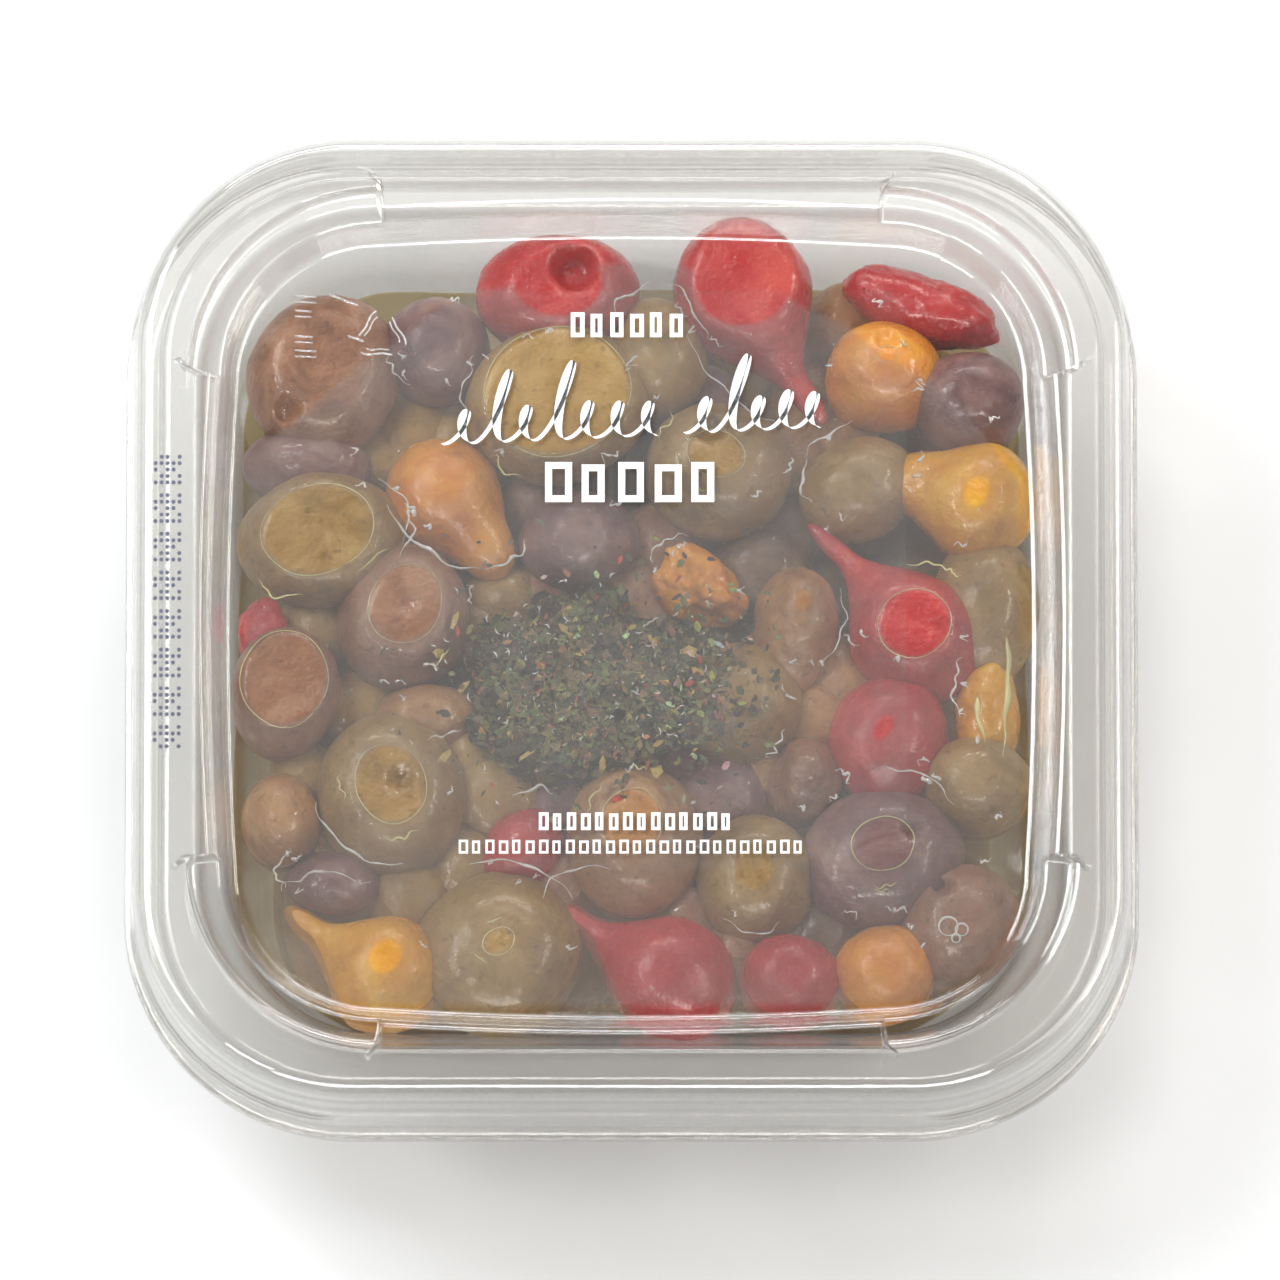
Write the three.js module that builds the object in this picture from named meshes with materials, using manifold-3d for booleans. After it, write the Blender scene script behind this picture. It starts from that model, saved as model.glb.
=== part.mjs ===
// Square hinged deli tub of clear thermoformed plastic, filled with an olive salad.
// Millimetres, +Z up. The origin is the centre of the footprint, on the surface that the tub
// stands on. -Y is the front, where the lid opens, and the hinge runs along X at the back.

import * as THREE from 'three';
import { mergeVertices } from 'three/addons/utils/BufferGeometryUtils.js';
import Module from 'manifold-3d';

// ---- driving dimensions ----

const SHEET = 0.6; // wall of both thermoformed shells
const GAP = 0.3; // air left between neighbouring pieces

const LIP_HALF = 61; // centre to the side of both lips
const LIP_CORNER = 27.5;
const FLANGE_TOP = 25; // upper face of the tub's flange
const LIP_BOTTOM = FLANGE_TOP + GAP; // lower face of the lid's lip

const RIM_TOP = 36.5; // crest of the tub's rim, under the lid's ring
const RING_TOP = 42.3; // flat ring round the lid, the highest face
const PANEL_TOP = 35.3; // sunken panel inside the ring
const RECESS_CENTRE = 30.3; // centre of every corner arc of the recess
const LEDGE_RADIUS = 22.6; // outer edge of the stacking ledge in each corner
const LEDGE_DROP = 2.5; // ledge below the ring
const SIDE_BOW = 1; // the recess's sides bulge outwards this much
const SKIRT_HALF = 59.7; // lid's skirt, just under its rounded top edge
const BEAD_Z = 32; // locking bead round each corner of the skirt
const BEAD_RADIUS = 0.7;
const BEAD_SWEEP = THREE.MathUtils.degToRad(78);
const BEAD_STOPS = 8;

const BASE_HALF = 44.4; // side of the base, above the rounded heel
const BASE_RISE = 1; // the middle of the base stands clear of the surface

const HINGE_Y = 61.35;
const HINGE_Z = FLANGE_TOP + GAP / 2;
const HINGE_TRIM = 60.3; // both lips are trimmed straight here, along the hinge
const STRIP_HALF_LENGTH = 30;
const STRIP_WIDTH = 1.4;
const STRIP_HEIGHT = 0.9;

const LABEL_WIDTH = 66;
const LABEL_LENGTH = 72;
const LABEL_Y = 6;
const LABEL_CORNER = 3;
const LABEL_THICKNESS = 0.15;

const OIL_TOP = 4.5;
const LOWER_BOTTOM = OIL_TOP + GAP; // lower layer of olives
const LAYER_SPLIT = 19.4; // between the two layers
const FILL_TOP = PANEL_TOP - SHEET - GAP; // pieces press up to here

// ---- materials ----

function paint(color, roughness, opacity = 1) {
  return new THREE.MeshStandardMaterial({
    color,
    roughness,
    metalness: 0,
    transparent: opacity < 1,
    opacity,
  });
}

const CLEAR_PLASTIC = [0xdfe3e4, 0.12, 0.35];
const COLOURS = {
  brown: 0x6b4a32,
  purple: 0x5a3a45,
  gold: 0x9a8a3a,
  green: 0x8a8a42,
  red: 0xb83a22,
  orange: 0xc8702a,
  yellow: 0xd0a83a,
  herb: 0x4a4a28,
};

// ---- solids ----

const wasm = await Module();
wasm.setup();

function solidFrom(geometry) {
  const bare = geometry.index ? geometry.clone() : geometry;
  bare.deleteAttribute('normal');
  bare.deleteAttribute('uv');
  const merged = mergeVertices(bare, 1e-4);
  return new wasm.Manifold(
    new wasm.Mesh({
      numProp: 3,
      vertProperties: new Float32Array(merged.attributes.position.array),
      triVerts: new Uint32Array(merged.index.array),
    }),
  );
}

// The largest body of a solid: a cut can leave a sliver on the far side of a neighbour.
function largest(solid) {
  const bodies = solid.decompose();
  return bodies.reduce((best, body) => (body.volume() > best.volume() ? body : best));
}

function geometryFrom(solid) {
  const mesh = largest(solid).getMesh();
  const geometry = new THREE.BufferGeometry();
  geometry.setAttribute('position', new THREE.BufferAttribute(mesh.vertProperties, 3));
  geometry.setIndex(new THREE.BufferAttribute(mesh.triVerts, 1));
  geometry.computeVertexNormals();
  return geometry;
}

const root = new THREE.Group();

function addMesh(name, geometry, material) {
  const mesh = new THREE.Mesh(geometry, material);
  mesh.name = name;
  root.add(mesh);
}

// ---- rounded square outlines, stacked into shells ----

const CORNER_STEPS = 6;
const SIDE_STOPS = [-0.5, 0, 0.5]; // extra points along each side, for its bow

// One side and the corner after it, turned round the square four times.
function outline({ half, corner, bow = 0, z }) {
  const centre = half - corner;
  const points = [];
  for (let side = 0; side < 4; side++) {
    const turn = (side * Math.PI) / 2;
    const place = (x, y) =>
      points.push([
        x * Math.cos(turn) - y * Math.sin(turn),
        x * Math.sin(turn) + y * Math.cos(turn),
        z,
      ]);
    for (const stop of SIDE_STOPS) {
      place(half + bow * (1 - stop * stop), stop * centre);
    }
    for (let step = 0; step <= CORNER_STEPS; step++) {
      const angle = (step / CORNER_STEPS) * (Math.PI / 2);
      place(centre + corner * Math.cos(angle), centre + corner * Math.sin(angle));
    }
  }
  return points;
}

// A closed body through a run of outlines, with a flat face on the first and the last.
function stack(levels) {
  const rings = levels.map(outline);
  const count = rings[0].length;
  const positions = rings.flat(2);
  const last = (rings.length - 1) * count;
  const bottomMiddle = rings.length * count;
  const topMiddle = bottomMiddle + 1;
  positions.push(0, 0, levels[0].z, 0, 0, levels.at(-1).z);
  const index = [];
  for (let i = 0; i < count; i++) {
    const next = (i + 1) % count;
    for (let ring = 0; ring < last; ring += count) {
      index.push(ring + i, ring + next, ring + count + next);
      index.push(ring + i, ring + count + next, ring + count + i);
    }
    index.push(bottomMiddle, next, i);
    index.push(topMiddle, last + i, last + next);
  }
  const geometry = new THREE.BufferGeometry();
  geometry.setAttribute('position', new THREE.Float32BufferAttribute(positions, 3));
  geometry.setIndex(index);
  return geometry;
}

// A level whose corner arcs share the centre of the recess's corners.
function recessLevel(half, z, bow = 0) {
  return { half, corner: half - RECESS_CENTRE, bow, z };
}

// A level of the flange, rim and skirt, whose corner arcs share the lip's centre.
function lipLevel(half, z) {
  return { half, corner: half - (LIP_HALF - LIP_CORNER), z };
}

function box(width, depth, height, x, y, z) {
  return solidFrom(new THREE.BoxGeometry(width, depth, height).translate(x, y, z));
}

// Everything behind the straight edge that both lips have along the hinge.
const TRIM_DEPTH = 10;
const BEHIND_HINGE = box(
  2 * LIP_HALF,
  TRIM_DEPTH,
  TRIM_DEPTH,
  0,
  HINGE_TRIM + TRIM_DEPTH / 2,
  HINGE_Z,
);

// ---- tub ----

const WALL_INNER = [
  { half: 38.2, corner: 15, z: BASE_RISE + SHEET },
  { half: 39.6, corner: 16, z: SHEET },
  { half: 42.8, corner: 16, z: SHEET },
  { half: BASE_HALF - SHEET, corner: 16.6, z: 3 },
  recessLevel(47.9, 26),
  recessLevel(49.4, 30),
  recessLevel(51.2, RIM_TOP - 0.8),
  recessLevel(52, RIM_TOP),
];

function makeTub() {
  const outside = [
    { half: 38, corner: 15, z: BASE_RISE },
    { half: 39.2, corner: 16, z: 0 },
    { half: 43, corner: 16, z: 0 },
    { half: BASE_HALF, corner: 17, z: 2 },
    recessLevel(48.5, 26),
    recessLevel(50, 30),
    recessLevel(52, RIM_TOP - SHEET),
    lipLevel(56.4, RIM_TOP - SHEET),
    lipLevel(57.2, FLANGE_TOP - SHEET),
    lipLevel(LIP_HALF, FLANGE_TOP - SHEET),
  ];
  const inside = [
    lipLevel(LIP_HALF, FLANGE_TOP),
    lipLevel(57.8, FLANGE_TOP),
    lipLevel(57.2, RIM_TOP - 0.9),
    lipLevel(56.4, RIM_TOP),
    ...WALL_INNER.toReversed(),
  ];
  return solidFrom(stack([...outside, ...inside])).subtract(BEHIND_HINGE);
}

addMesh('tub', geometryFrom(makeTub()), paint(...CLEAR_PLASTIC));

// ---- lid ----

// A quarter disc standing in one corner of the recess, with straight edges from start outwards.
function cornerBlock(quarter, start, radius, z, height) {
  const shape = new THREE.Shape();
  shape.moveTo(start, start);
  shape.lineTo(RECESS_CENTRE + radius, start);
  shape.absarc(RECESS_CENTRE, RECESS_CENTRE, radius, 0, Math.PI / 2);
  shape.lineTo(start, RECESS_CENTRE + radius);
  shape.closePath();
  const block = new THREE.ExtrudeGeometry(shape, {
    depth: height,
    bevelEnabled: false,
    curveSegments: 8,
  });
  block.translate(0, 0, z);
  block.rotateZ((quarter * Math.PI) / 2);
  return solidFrom(block);
}

// The locking bead round one corner of the skirt.
function cornerBead(quarter) {
  const centre = LIP_HALF - LIP_CORNER;
  const bend = SKIRT_HALF - centre;
  const points = [];
  for (let stop = 0; stop <= BEAD_STOPS; stop++) {
    const angle = Math.PI / 4 + BEAD_SWEEP * (stop / BEAD_STOPS - 0.5);
    points.push(
      new THREE.Vector3(
        centre + bend * Math.cos(angle),
        centre + bend * Math.sin(angle),
        BEAD_Z,
      ),
    );
  }
  const section = new THREE.Shape();
  section.absarc(0, 0, BEAD_RADIUS, 0, 2 * Math.PI);
  const bead = new THREE.ExtrudeGeometry(section, {
    steps: BEAD_STOPS,
    curveSegments: 4,
    extrudePath: new THREE.CatmullRomCurve3(points),
  });
  bead.rotateZ((quarter * Math.PI) / 2);
  return solidFrom(bead);
}

function makeLid() {
  let upper = solidFrom(
    stack([
      lipLevel(LIP_HALF, LIP_BOTTOM),
      lipLevel(LIP_HALF, LIP_BOTTOM + SHEET),
      lipLevel(60.1, LIP_BOTTOM + SHEET + 0.1),
      lipLevel(SKIRT_HALF, RING_TOP - 1.6),
      lipLevel(59.3, RING_TOP - 0.5),
      lipLevel(58.5, RING_TOP),
      recessLevel(51, RING_TOP, SIDE_BOW),
      recessLevel(50.4, RING_TOP - 0.4, SIDE_BOW),
      recessLevel(48.4, PANEL_TOP + 0.6, SIDE_BOW),
      recessLevel(47.7, PANEL_TOP, SIDE_BOW),
    ]),
  );
  let lower = solidFrom(
    stack([
      lipLevel(59.6, LIP_BOTTOM - 1),
      lipLevel(59.1, RING_TOP - 1.8),
      lipLevel(58.2, RING_TOP - SHEET),
      recessLevel(51.5, RING_TOP - SHEET, SIDE_BOW),
      recessLevel(49, PANEL_TOP, SIDE_BOW),
      recessLevel(48.2, PANEL_TOP - SHEET, SIDE_BOW),
    ]),
  );
  for (let quarter = 0; quarter < 4; quarter++) {
    const ledge = RING_TOP - LEDGE_DROP;
    const height = 2 * LEDGE_DROP;
    upper = upper.subtract(cornerBlock(quarter, RECESS_CENTRE, LEDGE_RADIUS, ledge, height));
    lower = lower.subtract(
      cornerBlock(quarter, RECESS_CENTRE - SHEET, LEDGE_RADIUS + SHEET, ledge - SHEET, height),
    );
    upper = upper.add(cornerBead(quarter));
  }
  return upper.subtract(lower).subtract(BEHIND_HINGE);
}

addMesh('lid', geometryFrom(makeLid()), paint(...CLEAR_PLASTIC));

// ---- tear strip: the perforated bead that joins both lips along the hinge ----

function makeTearStrip() {
  const section = new THREE.Shape();
  const halfWidth = STRIP_WIDTH / 2;
  const halfHeight = STRIP_HEIGHT / 2;
  const chamfer = 0.25;
  section.moveTo(-halfWidth + chamfer, -halfHeight);
  section.lineTo(halfWidth - chamfer, -halfHeight);
  section.lineTo(halfWidth, -halfHeight + chamfer);
  section.lineTo(halfWidth, halfHeight - chamfer);
  section.lineTo(halfWidth - chamfer, halfHeight);
  section.lineTo(-halfWidth + chamfer, halfHeight);
  section.lineTo(-halfWidth, halfHeight - chamfer);
  section.lineTo(-halfWidth, -halfHeight + chamfer);
  section.closePath();
  const strip = new THREE.ExtrudeGeometry(section, {
    depth: 2 * STRIP_HALF_LENGTH,
    bevelEnabled: false,
  });
  strip.rotateX(Math.PI / 2);
  strip.rotateZ(Math.PI / 2);
  strip.translate(-STRIP_HALF_LENGTH, HINGE_Y, HINGE_Z);
  return solidFrom(strip);
}

addMesh('tear_strip', geometryFrom(makeTearStrip()), paint(...CLEAR_PLASTIC));

// ---- label film on the sunken panel ----

function makeLabel() {
  const shape = new THREE.Shape();
  const x = LABEL_WIDTH / 2;
  const y = LABEL_LENGTH / 2;
  const r = LABEL_CORNER;
  shape.moveTo(x, r - y);
  shape.absarc(x - r, y - r, r, 0, Math.PI / 2);
  shape.absarc(r - x, y - r, r, Math.PI / 2, Math.PI);
  shape.absarc(r - x, r - y, r, Math.PI, (3 * Math.PI) / 2);
  shape.absarc(x - r, r - y, r, (3 * Math.PI) / 2, 2 * Math.PI);
  const film = new THREE.ExtrudeGeometry(shape, {
    depth: LABEL_THICKNESS,
    bevelEnabled: false,
    curveSegments: 4,
  });
  film.translate(0, LABEL_Y, PANEL_TOP + GAP);
  return solidFrom(film);
}

addMesh('label', geometryFrom(makeLabel()), paint(0xf2f2f2, 0.3, 0.25));

// ---- oil lying on the floor of the tub ----

const OIL_FLOOR = BASE_RISE + SHEET + GAP;
addMesh(
  'oil',
  stack([
    { half: 42.6, corner: 15.6, z: OIL_FLOOR },
    { half: 43.4, corner: 15.8, z: OIL_TOP },
  ]),
  paint(0xb08a30, 0.1, 0.6),
);

// ---- olives, peppers and herbs ----

// The room inside the tub, a gap short of its walls, between two heights.
function room(bottom, top) {
  const inside = [
    { half: 38, corner: 15, z: BASE_RISE + SHEET + GAP },
    { half: BASE_HALF - SHEET - 0.6, corner: 16.2, z: 4 },
    recessLevel(47.4, 26),
    recessLevel(48.8, 30),
    recessLevel(50.2, FILL_TOP),
  ];
  const slab = box(2 * LIP_HALF, 2 * LIP_HALF, top - bottom, 0, 0, (top + bottom) / 2);
  return solidFrom(stack(inside)).intersect(slab);
}

const SEGMENTS = 10;
const RINGS = 7;

// A rounded piece lying along its own x. A taper above 0 draws its far end out to a point.
function pebble(piece, bottom, grow = 0) {
  const { x, y, length, width, height, turn = 0, taper = 0 } = piece;
  const geometry = new THREE.SphereGeometry(1, SEGMENTS, RINGS).rotateX(Math.PI / 2);
  const position = geometry.attributes.position;
  for (let i = 0; i < position.count; i++) {
    const along = position.getX(i);
    const slim = 1 - taper * Math.max(0, along);
    position.setXYZ(
      i,
      along * (length / 2 + grow),
      position.getY(i) * (width / 2 + grow) * slim,
      position.getZ(i) * (height / 2 + grow) * slim,
    );
  }
  geometry.rotateZ(THREE.MathUtils.degToRad(turn));
  geometry.translate(x, y, bottom + height / 2);
  return solidFrom(geometry);
}

// Each piece is pressed into shape by the walls, the lid and the pieces placed before it.
function addLayer(pieces, bottom, top) {
  const space = room(bottom, top);
  const placed = [];
  for (const piece of pieces) {
    let solid = pebble(piece, bottom).intersect(space);
    for (const neighbour of placed) {
      solid = solid.subtract(neighbour);
    }
    placed.push(pebble(piece, bottom, GAP));
    addMesh(piece.name, geometryFrom(solid), paint(COLOURS[piece.colour], 0.25));
  }
}

// Sizes and places in mm; turn is in degrees from +X. Pieces that lie on top come first.
const UPPER_LAYER = [
  { name: 'olive_gold', colour: 'gold', x: -9, y: 29.5, length: 20.5, width: 17.5, height: 18, turn: 15 },
  { name: 'olive_brown_back', colour: 'brown', x: -37, y: 33.5, length: 18.5, width: 17, height: 17.5, turn: 70 },
  { name: 'pepper_red_hole', colour: 'red', x: -9, y: 43.8, length: 18, width: 12.5, height: 15.5 },
  { name: 'olive_left', colour: 'green', x: -37.5, y: 12.5, length: 18.5, width: 15, height: 17.5, turn: 10 },
  { name: 'olive_pink', colour: 'brown', x: -27.5, y: 3, length: 16.5, width: 14.5, height: 17, turn: 70 },
  { name: 'olive_left_low', colour: 'green', x: -29, y: -19, length: 18.5, width: 16, height: 17, turn: 100 },
  { name: 'olive_purple_left', colour: 'purple', x: -41.8, y: -6.5, length: 14.5, width: 12, height: 17, turn: 90 },
  { name: 'olive_grooved', colour: 'green', x: -16, y: -38.5, length: 18.5, width: 18, height: 16, turn: 40 },
  {
    name: 'pepper_red_front',
    colour: 'red',
    x: 0.5,
    y: -38.5,
    length: 22,
    width: 13,
    height: 16,
    turn: 150,
    taper: 0.6,
  },
  { name: 'olive_orange', colour: 'brown', x: 0.5, y: -25, length: 17.5, width: 15, height: 16, turn: 90 },
  { name: 'olive_front_mid', colour: 'green', x: 15, y: -29.5, length: 15, width: 13.5, height: 16, turn: 100 },
  { name: 'olive_purple_front', colour: 'purple', x: 30, y: -27, length: 18, width: 16, height: 17, turn: 20 },
  {
    name: 'pepper_red_right',
    colour: 'red',
    x: 30,
    y: 5,
    length: 22,
    width: 13.5,
    height: 16.5,
    turn: 128,
    taper: 0.7,
  },
  { name: 'pepper_red_round', colour: 'red', x: 31, y: -12.5, length: 15, width: 13.5, height: 16, turn: 80 },
  { name: 'olive_green_mid', colour: 'green', x: 13, y: -7.5, length: 14, width: 13, height: 15.5, turn: 45 },
  { name: 'olive_walnut', colour: 'brown', x: 20, y: 2, length: 13.5, width: 9.5, height: 14.5, turn: 80 },
  { name: 'olive_green_back', colour: 'green', x: 10.5, y: 21.5, length: 16, width: 15.5, height: 17 },
  {
    name: 'pepper_red_back',
    colour: 'red',
    x: 16.5,
    y: 39,
    length: 22,
    width: 15,
    height: 16.5,
    turn: -60,
    taper: 0.55,
  },
  { name: 'pepper_orange_ring', colour: 'orange', x: 30.5, y: 33.5, length: 13, width: 12.5, height: 16.5 },
  { name: 'olive_green_right', colour: 'green', x: 27.5, y: 19.5, length: 13.5, width: 11, height: 14, turn: 20 },
  {
    name: 'pepper_yellow_right',
    colour: 'yellow',
    x: 40.5,
    y: 18.5,
    length: 17,
    width: 12.5,
    height: 16,
    turn: 140,
    taper: 0.55,
  },
  { name: 'olive_purple_right', colour: 'purple', x: 40.5, y: 30, length: 12.5, width: 12, height: 16 },
  { name: 'pepper_red_bit', colour: 'red', x: 36, y: 41.5, length: 17, width: 7.5, height: 13.5, turn: -18 },
  { name: 'olive_brown_mid', colour: 'brown', x: 3, y: 35.5, length: 14, width: 11, height: 14, turn: 90 },
  { name: 'olive_purple_back', colour: 'purple', x: -23.7, y: 36.5, length: 12.5, width: 12, height: 15.5 },
  {
    name: 'pepper_spotted',
    colour: 'orange',
    x: -20.5,
    y: 16,
    length: 17,
    width: 12.5,
    height: 16,
    turn: -45,
    taper: 0.5,
  },
  { name: 'olive_pink_mid', colour: 'purple', x: -6.5, y: 13, length: 13, width: 11, height: 14.2, turn: 10 },
  { name: 'olive_purple_hidden', colour: 'purple', x: -39, y: 22.5, length: 14, width: 9, height: 12.5 },
  { name: 'olive_green_side', colour: 'green', x: 42.5, y: 5.5, length: 18, width: 12, height: 13, turn: 90 },
  { name: 'pepper_yellow_sliver', colour: 'yellow', x: 43, y: -7.5, length: 13, width: 7, height: 12.5, turn: 90 },
  { name: 'olive_brown_right', colour: 'brown', x: 41.5, y: -18, length: 12, width: 11, height: 15.5 },
  { name: 'olive_corner', colour: 'brown', x: 39.5, y: -35, length: 14.5, width: 13, height: 16, turn: 60 },
  { name: 'pepper_orange_front', colour: 'orange', x: 30.5, y: -41, length: 11.5, width: 11, height: 15 },
  { name: 'pepper_red_low', colour: 'red', x: 19, y: -42, length: 11, width: 10, height: 15 },
  {
    name: 'pepper_yellow_front',
    colour: 'yellow',
    x: -33,
    y: -38.5,
    length: 19,
    width: 13,
    height: 16,
    turn: 150,
    taper: 0.6,
  },
  { name: 'olive_red_brown', colour: 'brown', x: -42, y: -22, length: 10.5, width: 9, height: 14, turn: 80 },
  { name: 'olive_purple_low', colour: 'purple', x: -36, y: -30, length: 11, width: 8, height: 12.5 },
  { name: 'olive_reddish', colour: 'brown', x: -24.5, y: -9, length: 12, width: 8, height: 12.5 },
  { name: 'olive_speckled', colour: 'brown', x: 21, y: -17, length: 10, width: 8, height: 13.5, turn: 90 },
  { name: 'herb_clump', colour: 'herb', x: -6, y: -6.5, length: 29, width: 25, height: 15.5, turn: -15 },
  { name: 'pepper_red_sliver', colour: 'red', x: -12.5, y: -25, length: 10, width: 8, height: 12.5, turn: 40 },
  { name: 'pepper_orange_bits', colour: 'orange', x: 8, y: 7, length: 9, width: 8, height: 13.5 },
];
addLayer(UPPER_LAYER, LAYER_SPLIT + GAP / 2, FILL_TOP);

// The layer below is out of sight: rows of olives that the upper layer rests on.
const LOWER_COLOURS = ['green', 'brown', 'purple'];
const LOWER_ROWS = 4;
const LOWER_COLUMNS = 3;
const lowerLayer = [];
for (let row = 0; row < LOWER_ROWS; row++) {
  for (let column = 0; column < LOWER_COLUMNS; column++) {
    lowerLayer.push({
      name: `olive_below_${row + 1}_${column + 1}`,
      colour: LOWER_COLOURS[(row + column) % LOWER_COLOURS.length],
      x: (column - (LOWER_COLUMNS - 1) / 2) * 28.5,
      y: (row - (LOWER_ROWS - 1) / 2) * 21.5,
      length: 27,
      width: 20.5,
      height: LAYER_SPLIT - GAP / 2 - LOWER_BOTTOM,
    });
  }
}
addLayer(lowerLayer, LOWER_BOTTOM, LAYER_SPLIT - GAP / 2);

export default root;
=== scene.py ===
"""Look of the hinged deli tub: clear formed shells, a printed film and an olive salad."""

import math

import bpy
import numpy as np
from mathutils import Matrix, Vector, noise


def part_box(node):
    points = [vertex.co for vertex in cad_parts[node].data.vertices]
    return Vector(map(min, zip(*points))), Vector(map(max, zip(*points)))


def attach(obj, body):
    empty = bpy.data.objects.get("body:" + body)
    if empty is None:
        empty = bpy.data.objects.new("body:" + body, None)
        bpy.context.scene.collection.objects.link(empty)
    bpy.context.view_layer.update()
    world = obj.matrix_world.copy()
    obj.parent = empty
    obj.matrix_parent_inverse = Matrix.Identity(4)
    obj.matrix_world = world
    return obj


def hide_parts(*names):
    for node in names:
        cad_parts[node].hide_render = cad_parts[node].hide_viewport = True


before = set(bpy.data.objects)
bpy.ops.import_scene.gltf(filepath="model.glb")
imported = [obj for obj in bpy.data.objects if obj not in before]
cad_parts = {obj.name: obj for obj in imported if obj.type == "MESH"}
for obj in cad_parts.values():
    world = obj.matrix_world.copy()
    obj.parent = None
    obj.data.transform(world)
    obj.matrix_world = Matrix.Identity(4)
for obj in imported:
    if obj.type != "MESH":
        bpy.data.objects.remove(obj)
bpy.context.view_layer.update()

MM = 0.001
RNG = np.random.default_rng(17)

# ---------------------------------------------------------------- heights and sizes, in mm

SHEET = 0.45  # wall of the formed plastic
RING_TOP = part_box("lid")[1].z / MM
PANEL_TOP = RING_TOP - 7
PANEL_UNDER = PANEL_TOP - SHEET
LEDGE_TOP = RING_TOP - 2.5
LIP_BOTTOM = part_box("lid")[0].z / MM
FLANGE_TOP = LIP_BOTTOM - 0.3
RIM_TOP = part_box("tub")[1].z / MM
LIP_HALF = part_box("lid")[1].x / MM
RECESS_CENTRE = 30.3  # centre of the corner arcs of the recess
LIP_CENTRE = 33.5  # centre of the corner arcs of the lips
HINGE_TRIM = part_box("lid")[1].y / MM  # both lips end here, in front of the tear strip
LAYER_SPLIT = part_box("olive_gold")[0].z / MM  # underside of the upper layer


# ---------------------------------------------------------------- node helpers


class Shader:
    """A material being built, with short calls for the nodes that these surfaces use."""

    def __init__(self, name):
        self.material = bpy.data.materials.new(name)
        self.material.use_nodes = True
        self.tree = self.material.node_tree
        self.tree.nodes.clear()
        self.output = self.add("ShaderNodeOutputMaterial")

    def add(self, kind, **settings):
        made = self.tree.nodes.new(kind)
        for key, value in settings.items():
            setattr(made, key, value)
        return made

    def join(self, source, target):
        self.tree.links.new(source, target)

    def put(self, socket, value):
        if isinstance(value, bpy.types.NodeSocket):
            self.join(value, socket)
        else:
            socket.default_value = value

    def place(self):
        return self.add("ShaderNodeTexCoord").outputs["Object"]

    def noise(self, scale, detail=3.0, roughness=0.55, vector=None, distortion=0.0):
        made = self.add("ShaderNodeTexNoise")
        self.join(vector or self.place(), made.inputs["Vector"])
        made.inputs["Scale"].default_value = scale
        made.inputs["Detail"].default_value = detail
        made.inputs["Roughness"].default_value = roughness
        made.inputs["Distortion"].default_value = distortion
        return made.outputs["Fac"]

    def ramp(self, factor, stops):
        made = self.add("ShaderNodeValToRGB")
        self.join(factor, made.inputs["Fac"])
        points = made.color_ramp.elements
        while len(points) < len(stops):
            points.new(0.5)
        for point, (position, colour) in zip(points, stops):
            point.position = position
            point.color = (*colour, 1.0)
        return made.outputs["Color"]

    def span(self, value, low, high, to_low=0.0, to_high=1.0):
        made = self.add("ShaderNodeMapRange", clamp=True)
        self.put(made.inputs["Value"], value)
        made.inputs["From Min"].default_value = low
        made.inputs["From Max"].default_value = high
        made.inputs["To Min"].default_value = to_low
        made.inputs["To Max"].default_value = to_high
        return made.outputs["Result"]

    def mix(self, factor, a, b):
        made = self.add("ShaderNodeMix", data_type="RGBA")
        self.put(made.inputs["Factor"], factor)
        self.put(made.inputs["A"], a if not isinstance(a, tuple) else (*a, 1.0))
        self.put(made.inputs["B"], b if not isinstance(b, tuple) else (*b, 1.0))
        return made.outputs["Result"]

    def math(self, operation, *values):
        made = self.add("ShaderNodeMath", operation=operation)
        for socket, value in zip(made.inputs, values):
            self.put(socket, value)
        return made.outputs[0]

    def bump(self, height, strength, distance):
        made = self.add("ShaderNodeBump")
        self.join(height, made.inputs["Height"])
        made.inputs["Strength"].default_value = strength
        made.inputs["Distance"].default_value = distance
        return made.outputs["Normal"]

    def principled(self, **values):
        made = self.add("ShaderNodeBsdfPrincipled")
        for key, value in values.items():
            if key.endswith("Color") and isinstance(value, tuple):
                value = (*value, 1.0)
            self.put(made.inputs[key.replace("_", " ")], value)
        return made.outputs["BSDF"]

    def clear(self, colour=(1.0, 1.0, 1.0)):
        """Light that passes straight through."""
        made = self.add("ShaderNodeBsdfTransparent")
        self.put(made.inputs["Color"], colour if not isinstance(colour, tuple) else (*colour, 1.0))
        return made.outputs["BSDF"]

    def blend(self, share, first, second):
        made = self.add("ShaderNodeMixShader")
        self.put(made.inputs["Fac"], share)
        self.join(first, made.inputs[1])
        self.join(second, made.inputs[2])
        return made.outputs["Shader"]

    def finish(self, shader):
        self.join(shader, self.output.inputs["Surface"])
        return self.material


# ---------------------------------------------------------------- materials


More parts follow.
